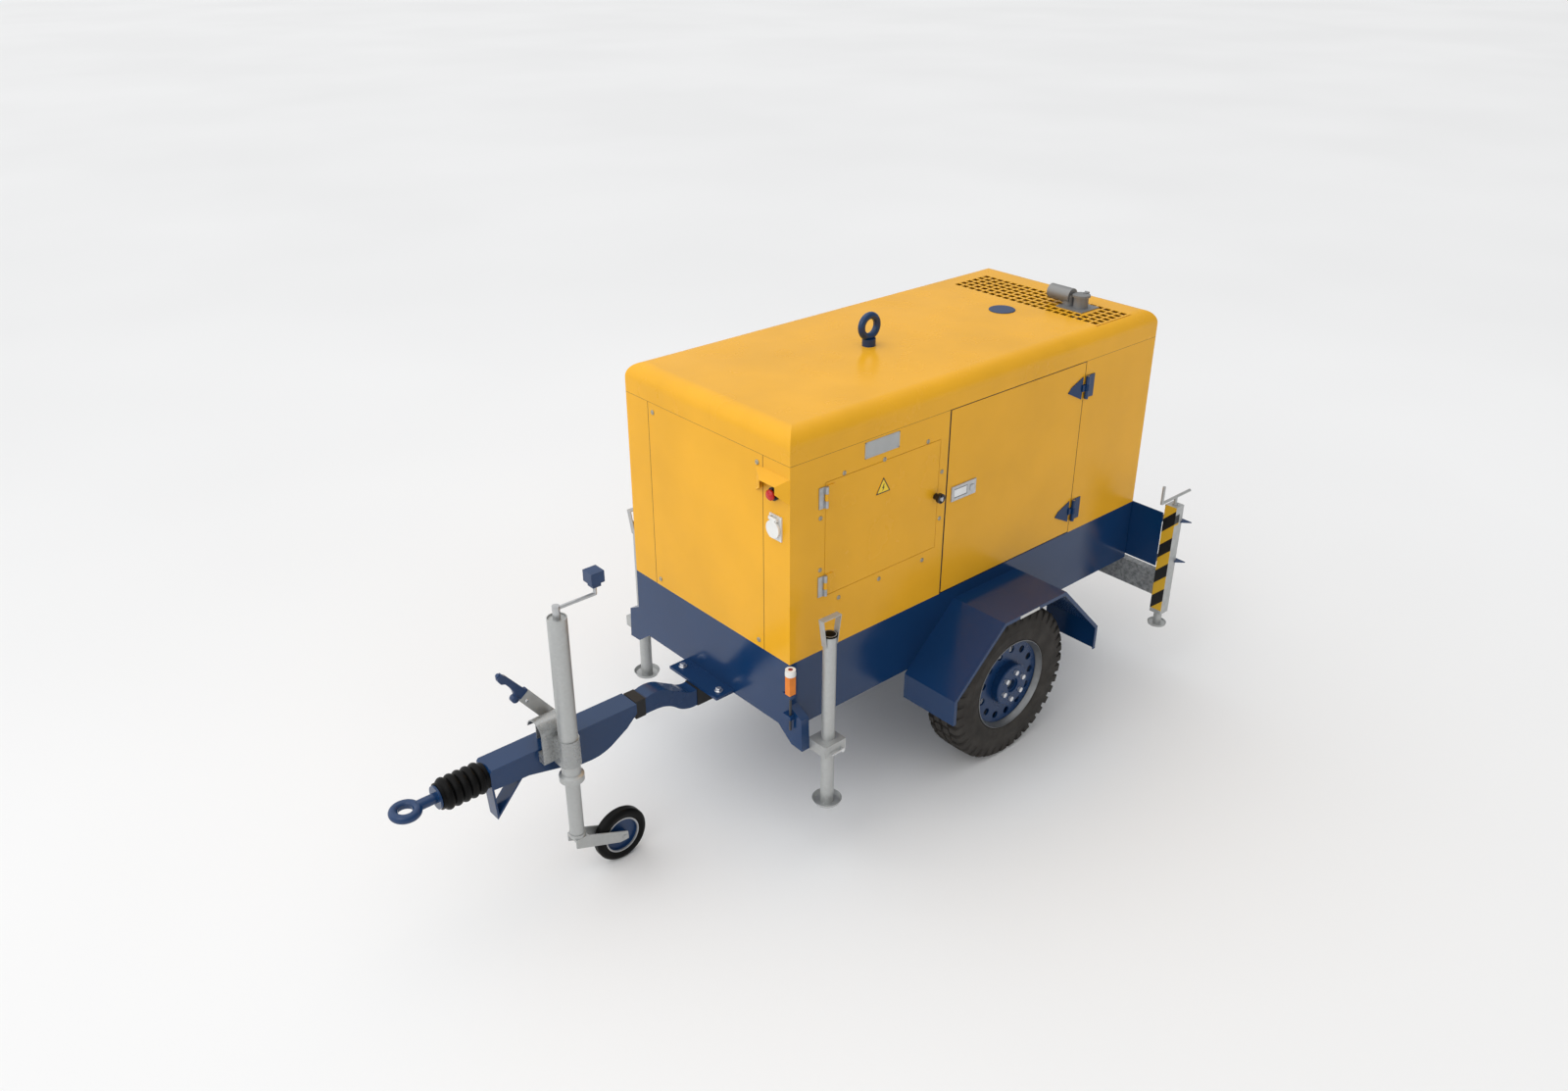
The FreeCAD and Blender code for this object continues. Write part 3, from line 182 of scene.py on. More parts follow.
def galvanised(name, colour=ZINC, roughness=0.42):
    """Hot-dip zinc with its spangle, faint streaks and rough patches."""
    shader = Shader(name)
    grain = shader.node("ShaderNodeSeparateXYZ")
    shader.link(shader.cells(95), grain.inputs[0])
    spangle = shader.ramp(grain.outputs[0], 0.0, 1.0)
    light = tuple(part * 1.05 for part in colour)
    dark = tuple(part * 0.95 for part in colour)
    tone = shader.mix(spangle, dark, light)
    streaks = shader.ramp(shader.noise(16, 5, 0.6, (1, 1, 0.18)), 0.0, 0.5, 0.45, 0.75)
    tone = shader.mix(streaks, tone, tuple(part * 0.88 for part in colour))
    shader.bump(shader.noise(160, 3), 0.0003, 0.3)
    return shader.finish(tone, shader.ramp(spangle, roughness - 0.06, roughness + 0.1), metallic=0.55)


def rubber(name, colour=(0.012, 0.012, 0.012), roughness=0.55, grain=900):
    shader = Shader(name)
    shader.bump(shader.noise(grain, 3), 0.0003, 0.5)
    rough = shader.ramp(shader.noise(30), roughness - 0.1, roughness + 0.12)
    return shader.finish(shades(shader, colour, 0.25, 14), rough, specular=0.12)


def plastic(name, colour, roughness=0.35):
    shader = Shader(name)
    shader.bump(shader.noise(700, 2), 0.0001, 0.3)
    rough = shader.ramp(shader.noise(40), roughness - 0.05, roughness + 0.08)
    return shader.finish(shades(shader, colour, 0.05, 20), rough)


def polished(name, colour=(0.72, 0.73, 0.74), roughness=0.16):
    shader = Shader(name)
    lines = shader.noise(60, 3, 0.6, (1, 1, 9))
    shader.bump(lines, 0.0001, 0.2)
    rough = shader.ramp(lines, roughness, roughness + 0.12)
    return shader.finish(shades(shader, colour, 0.06, 20), rough, metallic=1.0)


# ---------------------------------------------------------------- finishes of single nodes

def middle(node):
    """Centre of the box round a CAD node."""
    low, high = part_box(node)
    return (low + high) / 2


def hub_of(side):
    return Vector(joints[side + "_wheel_spin"]["pos_m"])


def radius_from(shader, first, second, centre):
    """Distance from an axis, from two coordinates and the axis's place in them."""
    return shader.math("SQRT", shader.math(
        "ADD", shader.math("POWER", shader.math("SUBTRACT", first, centre[0]), 2.0),
        shader.math("POWER", shader.math("SUBTRACT", second, centre[1]), 2.0)))


def wheel_paint(side):
    """Blue dish with a bare zinc rim edge and plated wheel bolts."""
    bolt_depth, bolts_from, bolts_to, rim_from = 11.6 * MM, 40 * MM, 80 * MM, 190.3 * MM
    hub = hub_of(side)
    low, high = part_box(side + "_wheel")
    face = high.y if side == "right" else low.y
    shader = Shader(side + "_wheel_paint")
    away = radius_from(shader, shader.x, shader.z, (hub.x, hub.z))
    depth = shader.math("ABSOLUTE", shader.math("SUBTRACT", shader.y, face))
    bolts = shader.both(shader.below(depth, bolt_depth), shader.above(away, bolts_from),
                        shader.below(away, bolts_to))
    rim = shader.above(away, rim_from)
    bare = shader.math("MAXIMUM", bolts, rim)
    shader.bump(shader.noise(300, 2), 0.0002, 0.25)
    tone = shader.mix(bare, shades(shader, BLUE, 0.08), shades(shader, (0.22, 0.225, 0.23), 0.1, 30))
    tone = shader.mix(bolts, tone, (0.75, 0.76, 0.78))
    gloss = shader.ramp(shader.noise(8, 4), 0.22, 0.34, 0.3, 0.7)
    rough = shader.math("ADD", gloss, shader.math("MULTIPLY", bare, 0.06))
    return shader.finish(tone, rough, metallic=shader.math("MULTIPLY", bare, 0.8), specular=0.4)


def stand_paint():
    """Galvanised stands: hazard stripes on the forward faces, a rough rolled bumper beam."""
    tube_width, skin, stripes_from, stripe_pitch = 63 * MM, 0.6 * MM, 20 * MM, 135 * MM
    patch_bottom, patch_top, patch_width = 92 * MM, 38 * MM, 34 * MM
    shader = Shader("stand_finish")
    low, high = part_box("rear_stand_frame")
    tube = shader.above(shader.math("ABSOLUTE", shader.y), high.y - tube_width)
    forward = shader.both(tube, shader.below(shader.x, low.x + skin))
    reach = shader.above(shader.z, low.z + stripes_from)
    corner = shader.both(tube, shader.below(shader.y, low.y + skin),
                         shader.above(shader.z, high.z - patch_bottom),
                         shader.below(shader.z, high.z - patch_top),
                         shader.below(shader.x, low.x + patch_width))
    slant = shader.math("ADD", shader.z, shader.y)
    wave = shader.math("FRACT", shader.math("DIVIDE", slant, stripe_pitch))
    stripe = shader.above(wave, 0.5)
    zinc_tone = shades(shader, ZINC, 0.1, 40)
    scale = shader.ramp(shader.noise(60, 6, 0.7), 0, 1, 0.35, 0.65)
    rolled = shader.mix(scale, (0.16, 0.17, 0.17), (0.4, 0.41, 0.42))
    base = shader.mix(tube, rolled, zinc_tone)
    hazard = shader.mix(stripe, (0.72, 0.42, 0.02), (0.006, 0.006, 0.006))
    striped = shader.math("MAXIMUM", shader.both(forward, reach), corner)
    shader.bump(shader.noise(170, 4), 0.0004, 0.4)
    rough = shader.ramp(shader.noise(40, 4), 0.38, 0.6)
    bare = shader.math("MULTIPLY", shader.math("SUBTRACT", 1.0, striped), 0.5)
    return shader.finish(shader.mix(striped, base, hazard), rough, metallic=bare)


def arm_paint():
    """Blue drawbar with its two black taped bands."""
    first_end, second_start, second_end = 48.1 * MM, 297.9 * MM, 378.1 * MM
    half_width, under_plate = 41 * MM, 0.5332
    shader = Shader("drawbar_finish")
    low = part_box("drawbar_arm")[0]
    first = shader.below(shader.x, low.x + first_end)
    width = shader.math("ABSOLUTE", shader.y)
    second = shader.both(shader.above(shader.x, low.x + second_start), shader.below(width, half_width),
                         shader.below(shader.x, low.x + second_end), shader.below(shader.z, under_plate))
    bands = shader.math("MAXIMUM", first, second)
    shader.bump(shader.noise(420, 2), 0.00025, 0.25)
    gloss = shader.ramp(shader.noise(7, 5), 0.2, 0.3, 0.3, 0.7)
    rough = shader.math("ADD", gloss, shader.math("MULTIPLY", bands, 0.3))
    return shader.finish(shader.mix(bands, shades(shader, BLUE, 0.07), BLACK), rough, specular=0.4)


def crank_paint():
    """Plated crank with its blue square knob."""
    knob_height = 62.5 * MM
    shader = Shader("crank_finish")
    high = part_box("jockey_crank")[1]
    knob = shader.above(shader.z, high.z - knob_height)
    shader.bump(shader.noise(200, 3), 0.0002, 0.3)
    tone = shader.mix(knob, shades(shader, (0.5, 0.51, 0.52), 0.1, 30), shades(shader, BLUE, 0.1, 20))
    metal = shader.math("MULTIPLY", shader.math("SUBTRACT", 1.0, knob), 0.75)
    return shader.finish(tone, shader.ramp(shader.noise(30, 4), 0.25, 0.42), metallic=metal)


def earth_paint():
    """Steel stake, orange grip, white striking cap with a dark red button."""
    grip_height, cap_height, cap_radius, button_radius = 109.5 * MM, 25.3 * MM, 21 * MM, 9 * MM
    shader = Shader("earth_rod_finish")
    low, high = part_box("earth_rod")
    centre = middle("earth_rod")
    grip = shader.above(shader.z, high.z - grip_height)
    white = shader.above(shader.z, high.z - cap_height)
    away = radius_from(shader, shader.x, shader.y, (low.x + cap_radius, centre.y))
    dot = shader.both(shader.above(shader.z, high.z - 0.5 * MM), shader.below(away, button_radius))
    tone = shader.mix(grip, (0.03, 0.03, 0.033), shades(shader, (0.8, 0.22, 0.012), 0.06, 30))
    tone = shader.mix(white, tone, (0.8, 0.79, 0.76))
    tone = shader.mix(dot, tone, (0.25, 0.01, 0.015))
    shader.bump(shader.noise(500, 2), 0.0002, 0.3)
    return shader.finish(tone, shader.ramp(shader.noise(40, 3), 0.35, 0.5))


def hinge_paint():
    """Blue door hinges with bright pins, plated hinges on the control door."""
    pin_radius = 6.3 * MM
    shader = Shader("hinge_finish")
    pin_x = joints["left_door_swing"]["pos_m"][0]
    pin_y = abs(joints["left_door_swing"]["pos_m"][1])
    control = shader.below(shader.x, 0.0)
    away = radius_from(shader, shader.x, shader.math("ABSOLUTE", shader.y), (pin_x, pin_y))
    pin = shader.below(away, pin_radius)
    bare = shader.math("MAXIMUM", control, pin)
    tone = shader.mix(bare, shades(shader, BLUE, 0.08), shades(shader, (0.42, 0.43, 0.44), 0.12, 40))
    shader.bump(shader.noise(300, 2), 0.0002, 0.25)
    metal = shader.math("MULTIPLY", bare, 0.7)
    return shader.finish(tone, shader.ramp(shader.noise(30, 4), 0.26, 0.42), metallic=metal)


def latch_paint():
    """Black quarter-turn knob with a plated centre."""
    cap_depth, cap_radius = 5 * MM, 8.5 * MM
    shader = Shader("latch_finish")
    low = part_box("control_latch")[0]
    pivot = joints["control_latch_turn"]["pos_m"]
    away = radius_from(shader, shader.x, shader.z, (pivot[0], pivot[2]))
    centre = shader.both(shader.below(shader.y, low.y + cap_depth), shader.below(away, cap_radius))
    tone = shader.mix(centre, (0.008, 0.008, 0.009), shades(shader, (0.6, 0.6, 0.62), 0.08, 60))
    shader.bump(shader.noise(500, 2), 0.0001, 0.3)
    metal = shader.math("MULTIPLY", centre, 0.9)
    return shader.finish(tone, shader.ramp(shader.noise(40), 0.25, 0.4), metallic=metal)


def door_paint(side):
    """Yellow door; its strap hinges are blue and its lock plate bare metal."""
    straps_from, lock_to = 1.0, 0.9
    shader = Shader(side + "_door_finish")
    outer = -1 if side == "left" else 1
    low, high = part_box("canopy_walls")
    skin = max(abs(low.y), abs(high.y))
    proud = shader.above(shader.math("MULTIPLY", shader.y, outer), skin + 0.3 * MM)
    strap = shader.both(proud, shader.above(shader.x, straps_from))
    lock = shader.both(proud, shader.below(shader.x, lock_to))
    tone = shader.mix(strap, shades(shader, YELLOW, 0.05), shades(shader, BLUE, 0.08))
    tone = shader.mix(lock, tone, shades(shader, (0.5, 0.51, 0.52), 0.1, 60))
    shader.bump(shader.noise(420, 2), 0.00025, 0.25)
    rough = shader.ramp(shader.noise(7, 5), 0.18, 0.26, 0.3, 0.7)
    return shader.finish(tone, rough, metallic=shader.math("MULTIPLY", lock, 0.6), specular=0.22)


def canopy_paint():
    """Yellow panels with the dark lines where the folded corner panels meet the flat ones."""
    seam_width = 1.6 * MM
    shader = Shader("canopy_finish")
    low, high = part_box("canopy_walls")
    ends = shader.math("MAXIMUM", shader.below(shader.x, low.x + MM), shader.above(shader.x, high.x - MM))
    seam = shader.math("ABSOLUTE", shader.math("SUBTRACT", shader.math("ABSOLUTE", shader.y), PANEL_SEAM))
    line = shader.both(ends, shader.below(seam, seam_width))
    line = shader.math("MAXIMUM", line, shader.above(shader.z, high.z - seam_width))
    shader.bump(shader.noise(420, 2), 0.00025, 0.25)
    tone = shader.mix(line, shades(shader, YELLOW, 0.05), (0.2, 0.1, 0.012))
    return shader.finish(tone, shader.ramp(shader.noise(7, 5), 0.18, 0.26, 0.3, 0.7), specular=0.22)


def castor_paint():
    """Blue pressed disc with a bare rim edge."""
    rim_from = 68.5 * MM
    shader = Shader("jockey_wheel_finish")
    axle = joints["jockey_wheel_spin"]["pos_m"]
    away = radius_from(shader, shader.x, shader.z, (axle[0], axle[2]))
    rim = shader.above(away, rim_from)
    shader.bump(shader.noise(300, 2), 0.0002, 0.25)
    tone = shader.mix(rim, shades(shader, BLUE, 0.08), shades(shader, (0.42, 0.43, 0.44), 0.1, 40))
    metal = shader.math("MULTIPLY", rim, 0.7)
    return shader.finish(tone, shader.ramp(shader.noise(9, 4), 0.25, 0.4), metallic=metal)


def hood_paint():
    """Yellow hood with near-black painted shade round the stop button, where the hood shades it."""
    shade_radius = 25.6 * MM
    shader = Shader("hood_finish")
    stop = middle("estop_button")
    # near-black disc round the stop button: painted shade under the hood
    hood_shade = shader.below(radius_from(shader, shader.y, shader.z, (stop.y, stop.z)), shade_radius)
    tone = shader.mix(hood_shade, shades(shader, YELLOW, 0.05), (0.02, 0.02, 0.022))
    shader.bump(shader.noise(420, 2), 0.0002, 0.25)
    return shader.finish(tone, shader.ramp(shader.noise(9, 4), 0.2, 0.3), specular=0.22)


yellow = painted("yellow_paint", YELLOW, roughness=0.22, specular=0.22)
blue = painted("blue_paint", BLUE, roughness=0.16, specular=0.45)
zinc = galvanised("galvanised_steel")
steel = polished("zinc_plated_steel")
black_plastic = plastic("black_plastic", (0.012, 0.012, 0.013), 0.4)
rubber_black = rubber("moulded_rubber", (0.003, 0.003, 0.003), 0.42)
tyre_black = rubber("tyre_rubber", (0.05, 0.046, 0.042), 0.75, 500)
cast = painted("engine_enamel", (0.09, 0.1, 0.11), 0.5, 0.0, 0.001)
alloy = galvanised("cast_alloy", (0.5, 0.5, 0.5), 0.5)
flue = galvanised("flue_steel", (0.26, 0.26, 0.26), 0.5)


def dress(node, material):
    """Give a CAD node one material."""
    mesh = frame["nodes"][node].data
    mesh.materials.clear()
    mesh.materials.append(material)


FINISHES = {
    yellow: "roof_cap control_door",
    canopy_paint(): "canopy_walls",
    blue: "chassis_frame rear_crossmember fenders overrun_housing tow_eye lifting_eye "
          "handbrake_button filler_cap",
    castor_paint(): "jockey_wheel",
    zinc: "axle_beam handbrake_lever jockey_tube jockey_inner_tube jockey_fork "
          "stand_clamps left_front_leg right_front_leg left_rear_leg right_rear_leg "
          "left_rear_crank right_rear_crank signs",
    flue: "exhaust rain_cap",
    galvanised("clamp_steel", (0.36, 0.37, 0.37), 0.28): "jockey_clamp",
    steel: "fasteners left_clamp_lever right_clamp_lever left_door_handle right_door_handle crankshaft",
    rubber_black: "bellows fan_belt jockey_tyre",
    tyre_black: "left_tyre right_tyre",
    black_plastic: "control_panel fuel_tank battery cooling_fan",
    cast: "engine_block",
    alloy: "alternator radiator",
    wheel_paint("left"): "left_wheel",
    wheel_paint("right"): "right_wheel",
    stand_paint(): "rear_stand_frame",
    arm_paint(): "drawbar_arm",
    crank_paint(): "jockey_crank",
    earth_paint(): "earth_rod",
    hinge_paint(): "hinge_leaves",
    latch_paint(): "control_latch",
    door_paint("left"): "left_service_door",
    door_paint("right"): "right_service_door",
    hood_paint(): "estop_hood",
    plastic("stop_red", (0.55, 0.006, 0.006), 0.25): "estop_button",
    plastic("socket_white", (0.72, 0.72, 0.7), 0.35): "socket_plate",
    plastic("lid_white", (0.8, 0.8, 0.77), 0.3): "socket_lid",
}
for finish, names in FINISHES.items():
    for node_name in names.split():
        dress(node_name, finish)


# ---------------------------------------------------------------- new pieces

def made(name, mesh, material, body, node=None, smooth=True):
    """An object from a bmesh, riding on a body, in place of a CAD node if one is named."""
    data = bpy.data.meshes.new(name)
    bmesh.ops.recalc_face_normals(mesh, faces=mesh.faces)
    mesh.to_mesh(data)
    mesh.free()
    for face in data.polygons:
        face.use_smooth = smooth
    data.materials.append(material)
    thing = bpy.data.objects.new(name, data)
    bpy.context.scene.collection.objects.link(thing)
    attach(thing, body)
    if node:
        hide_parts(node)
    return thing


def bevelled(thing, width, segments=2, angle=35):
    rounding = thing.modifiers.new("rounding", "BEVEL")
    rounding.width = width
    rounding.segments = segments
    rounding.limit_method = "ANGLE"
    rounding.angle_limit = math.radians(angle)
    rounding.harden_normals = True
    return thing


def add_block(mesh, low, high):
    """A box between two corners."""
    points = [mesh.verts.new((x, y, z))
              for x in (low[0], high[0]) for y in (low[1], high[1]) for z in (low[2], high[2])]
    for loop in ((0, 1, 3, 2), (4, 6, 7, 5), (0, 4, 5, 1), (2, 3, 7, 6), (0, 2, 6, 4), (1, 5, 7, 3)):
        mesh.faces.new([points[index] for index in loop])


def add_lathe(mesh, profile, centre, axis, steps=32):
    """A closed shape: (radius, height) points turned about an axis through centre."""
    turn = Vector(axis).to_track_quat("Z", "Y").to_matrix()
    rings = []
    for radius, height in profile:
        if radius < 1e-6:
            rings.append([mesh.verts.new(Vector(centre) + turn @ Vector((0, 0, height)))])
            continue
        ring = []
        for index in range(steps):
            angle = 2 * math.pi * index / steps
            point = Vector((radius * math.cos(angle), radius * math.sin(angle), height))
            ring.append(mesh.verts.new(Vector(centre) + turn @ point))
        rings.append(ring)
    for one, two in zip(rings, rings[1:]):
        for index in range(steps):
            after = (index + 1) % steps
            corners = [one[index % len(one)], one[after % len(one)],
                       two[after % len(two)], two[index % len(two)]]
            unique = list(dict.fromkeys(corners))
            if len(unique) > 2:
                mesh.faces.new(unique)


def add_slab(mesh, outline, centre, along, up, thickness):
    """A flat outline in (along, up) from centre, given a thickness along their normal."""
    along, up = Vector(along), Vector(up)
    normal = along.cross(up).normalized()
    near = [mesh.verts.new(Vector(centre) + along * u + up * v) for u, v in outline]
    far = [mesh.verts.new(point.co + normal * thickness) for point in near]
    mesh.faces.new(near)
    mesh.faces.new(list(reversed(far)))
    for index in range(len(outline)):
        after = (index + 1) % len(outline)
        mesh.faces.new((near[index], near[after], far[after], far[index]))


def tyre(side):
    """Radial tyre with chunky shoulder lugs, a broken centre rib and a ribbed sidewall."""
    hub = hub_of(side)
    outward = -1 if side == "left" else 1
    low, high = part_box(side + "_tyre")
    middle_y = (low.y + high.y) / 2
    half = (high.y - low.y) / 2 - 0.8 * MM
    outer = (high.z - low.z) / 2
    # one half of the section from bead to centre line: the place of a lug's surface and of
    # the groove's floor beside it, each as (share of half width, mm below the tread)
    sidewall = ((0.70, 159.5), (0.876, 145.5), (0.94, 144), (0.972, 138), (0.995, 120), (0.995, 98),
                (1.0, 96), (1.0, 92), (0.992, 90), (0.985, 64), (0.962, 52))
    shoulder = (((0.955, 46), (0.915, 47)), ((0.945, 30), (0.885, 34)), ((0.92, 13), (0.85, 24)),
                ((0.80, 3), (0.76, 17)), ((0.50, 0.5), (0.50, 14)))
    channel = ((0.485, 12), (0.42, 12))
    rib = (((0.405, 0.3), (0.405, 10)), ((0.08, 0), (0.08, 10)))
    floor = ((0.065, 11),)
    section = [(spot, spot, 0) for spot in sidewall] + [(lug, groove, 1) for lug, groove in shoulder]
    section += [(spot, spot, 0) for spot in channel] + [(lug, groove, 2) for lug, groove in rib]
    section += [(spot, spot, 0) for spot in floor]
    section = [(1, *row) for row in section] + [(-1, *row) for row in reversed(section)]
    lugs = 40
    # places round one lug's pitch, each with the row of lugs that is cut away there
    stations = ((0.0, 1), (0.03, 1), (0.35, 1), (0.39, 0), (0.52, 0), (0.56, 2), (0.76, 2), (0.80, 0),
                (0.96, 0))
    mesh = bmesh.new()
    rings = []
    for lug_number in range(lugs):
        for share_round, cut in stations:
            ring = []
            for face, surface, groove, row in section:
                share, drop = groove if row and row == cut else surface
                angle = 2 * math.pi * (lug_number + share_round + 0.25 * share) / lugs
                reach = outer - drop * MM
                ring.append(mesh.verts.new((hub.x + reach * math.cos(angle),
                                            middle_y + outward * face * share * half,
                                            hub.z + reach * math.sin(angle))))
            rings.append(ring)
    for index, ring in enumerate(rings):
        following = rings[(index + 1) % len(rings)]
        for place in range(len(section)):
            after = (place + 1) % len(section)
            mesh.faces.new((ring[place], ring[after], following[after], following[place]))
    thing = made(side + "_road_tyre", mesh, tyre_black, side + "_road_wheel", side + "_tyre")
    thing.data.set_sharp_from_angle(angle=math.radians(32))


def gaiter():
    """Rubber bellows with five rounded folds."""
    low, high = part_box("bellows")
    axis = middle("bellows")
    radius, length, folds = (high.z - low.z) / 2, high.x - low.x, 5
    cuff, valley, bore = 12 * MM, 50 * MM, 24 * MM
    pitch = (length - 2 * cuff) / folds
    profile = [(bore, 0), (valley, 0), (valley, cuff)]
    for fold in range(folds):
        for step in range(1, 11):
            swell = math.sin(math.pi * step / 10) ** 0.7
            profile.append((valley + (radius - valley) * swell, cuff + (fold + step / 10) * pitch))
    profile += [(valley, length), (bore, length), (bore, 0)]
    mesh = bmesh.new()
    add_lathe(mesh, profile, (low.x, axis.y, axis.z), (1, 0, 0), 56)
    bmesh.ops.remove_doubles(mesh, verts=mesh.verts, dist=0.01 * MM)
    thing = made("drawbar_gaiter", mesh, rubber_black, "trailer_frame", "bellows")
    thing.data.set_sharp_from_angle(angle=math.radians(50))
    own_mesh(thing)


def seals(side):
    """Rubber strips in the gaps round a service door."""
    outward = -1 if side == "left" else 1
    low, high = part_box(side + "_service_door")
    walls_low, walls_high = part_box("canopy_walls")
    skin = abs(walls_low.y)
    rear = joints[side + "_door_swing"]["pos_m"][0] - 10 * MM
    clear, front_gap, rear_gap = 0.5 * MM, 8 * MM, 4 * MM
    start, end = low.x - front_gap + clear, rear + rear_gap - clear
    strips = (
        ((start, low.z), (low.x - clear, high.z)),
        ((rear + clear, low.z), (end, high.z)),
        ((start, high.z + clear), (end, walls_high.z - clear)),
        ((start, walls_low.z + clear), (end, low.z - clear)),
    )
    mesh = bmesh.new()
    inner, face = sorted((outward * (skin - 12 * MM), outward * (skin - 0.6 * MM)))
    for (x0, z0), (x1, z1) in strips:
        add_block(mesh, (x0, inner, z0), (x1, face, z1))
    made(side + "_door_seal", mesh, seal_black, "trailer_frame", smooth=False)


def control_seal():
    """Flat rubber frame behind the edge of the control door."""
    walls_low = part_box("canopy_walls")[0]
    hinge = joints["control_door_swing"]["pos_m"]
    door_low, door_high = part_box("control_door")
    left, right = hinge[0] + 2 * MM, door_high.x
    lap, skin = 6 * MM, walls_low.y
    back, front = skin + 5.6 * MM, skin + 3.6 * MM
    mesh = bmesh.new()
    for (x0, z0), (x1, z1) in (((left - lap, door_low.z - lap), (left + lap, door_high.z + lap)),
                               ((right - lap, door_low.z - lap), (right + lap, door_high.z + lap)),
                               ((left + lap, door_high.z - lap), (right - lap, door_high.z + lap)),
                               ((left + lap, door_low.z - lap), (right - lap, door_low.z + lap))):
        add_block(mesh, (x0, front, z0), (x1, back, z1))
    made("control_door_seal", mesh, seal_black, "trailer_frame", smooth=False)


def open_tube_shade(side):
    """Near-black disc sunk in the open top of a front leg, under its handle strap: painted shade for the
    dark inside of the open tube.
    """
    strap_height, foot_overhang = 71 * MM, 29 * MM
    low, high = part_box(side + "_front_leg")
    centre = ((low.x + high.x) / 2, (low.y + high.y) / 2, high.z - strap_height)
    radius = (high.x - low.x) / 2 - foot_overhang
    mesh = bmesh.new()
    add_lathe(mesh, [(0, -6 * MM), (radius, -6 * MM), (radius, -1 * MM), (radius - 2 * MM, 0), (0, -2 * MM)],
              centre, (0, 0, 1), 36)
    made(side + "_leg_tube_shade", mesh, tube_shade_black, side + "_front_leg")


def fasteners():
    """Domed panel screws with a driver recess, and hexagon bolts on the drawbar plate."""
    mesh = bmesh.new()
    walls_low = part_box("canopy_walls")[0]
    front, skin = walls_low.x, walls_low.y
    # mm from the canopy's front, and mm above the ground
    side_screws = ((258, 1529), (462, 1523), (693, 1529), (781, 1379), (783, 1177), (695, 1022),
                   (455, 1025), (243, 1023), (145, 1385), (146, 1174))
    dome = ((9, 0), (9.2, 0.8), (8.4, 2.3), (6.2, 3.5), (3.6, 4.0), (3.3, 2.4), (0, 2.4))
    dome = [(radius * MM, height * MM) for radius, height in dome]
    for x, z in side_screws:
        add_lathe(mesh, dome, (front + x * MM, skin, z * MM), (0, -1, 0), 24)
    big = [(radius * 1.1, height * 1.2) for radius, height in dome]
    front_screw_y, front_screw_heights = 0.313, (0.855, 1.588)
    for y in (-front_screw_y, front_screw_y):
        for z in front_screw_heights:
            add_lathe(mesh, big, (front, y, z), (-1, 0, 0), 24)
    made("panel_screws", mesh, screw_metal, "trailer_frame", "fasteners")
    mesh = bmesh.new()
    bolt_ahead, bolt_y, plate_top = 49 * MM, 0.118, 0.545
    washer = ((0, 0), (17, 0), (17, 2.2), (16.4, 3), (0, 3))
    head = ((0, 3), (13, 3), (13, 11.5), (11, 13), (0, 13))
    for y in (-bolt_y, bolt_y):
        place = Vector((front - bolt_ahead, y, plate_top))
        for profile, steps in ((washer, 40), (head, 6)):
            scaled = [(radius * MM, height * MM) for radius, height in profile]
            add_lathe(mesh, scaled, place, (0, 0, 1), steps)
    made("drawbar_bolts", mesh, bolt_metal, "trailer_frame", smooth=False)


def signs():
    """Blank name plate with a raised rim and rivets, hazard triangle, fender reflectors."""
    walls_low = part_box("canopy_walls")[0]
    front, skin = walls_low.x, walls_low.y
    low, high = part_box("signs")
    mesh = bmesh.new()
    left, right, base, top = front + 0.359, front + 0.536, 1.552, 1.616
    rim, rivet_inset = 0.004, 0.009
    add_block(mesh, (left, skin - 0.0012, base), (right, skin, top))
    for a, b in (((left, base), (right, base + rim)), ((left, top - rim), (right, top)),
                 ((left, base), (left + rim, top)), ((right - rim, base), (right, top))):
        add_block(mesh, (a[0], skin - 0.0016, a[1]), (b[0], skin - 0.0008, b[1]))
    rivet = [(0.0025, 0), (0.0023, 0.0012), (0, 0.0017)]
    for x in (left + rivet_inset, right - rivet_inset):
        for z in (base + rivet_inset, top - rivet_inset):
            add_lathe(mesh, rivet, (x, skin - 0.0011, z), (0, -1, 0), 12)
    made("name_plate", mesh, label_grey, "trailer_frame", "signs", smooth=False)

    # the triangle's outline, on the control door: metres along X from the front, and up
    corners = [Vector((front + x, z)) for x, z in ((0.421, 1.389), (0.497, 1.389), (0.459, 1.453))]
    centre = sum(corners, Vector((0, 0))) / 3

    def rounded(scale, rounding):
        points = []
        for index, corner in enumerate(corners):
            before, after = corners[index - 1], corners[(index + 1) % 3]
            spot = centre + (corner - centre) * scale
            points.append(spot + (before - corner).normalized() * rounding)
            points.append(spot + (centre - corner) * 0.02)
            points.append(spot + (after - corner).normalized() * rounding)
        return [(point.x, point.y) for point in points]

    bolt = ((0.003, 0.020), (-0.007, -0.001), (-0.001, 0.001), (-0.005, -0.016), (0.007, 0.005),
            (0.001, 0.003), (0.006, 0.019))
    zigzag = [(centre.x + u, centre.y - 0.001 + v * 0.85) for u, v in bolt]
    face = skin - 1.45 * MM
    layers = (("triangle_border", rounded(1.0, 0.006), 0.35 * MM, ink),
              ("triangle_face", rounded(0.80, 0.004), 0.50 * MM, sign_yellow),
              ("triangle_bolt", zigzag, 0.65 * MM, ink))
    for name, outline, thickness, material in layers:
        mesh = bmesh.new()
        add_slab(mesh, outline, (0, face, 0), (1, 0, 0), (0, 0, 1), thickness)
        made(name, mesh, material, "control_door", smooth=False)

    start, end, bottom, top, thick = front + 1.0, front + 1.12, 0.755, 0.767, 0.002
    mesh = bmesh.new()
    for y in (low.y, high.y - thick):
        add_block(mesh, (start, y, bottom), (end, y + thick, top))
    made("fender_reflectors", mesh, reflector, "trailer_frame", smooth=False)


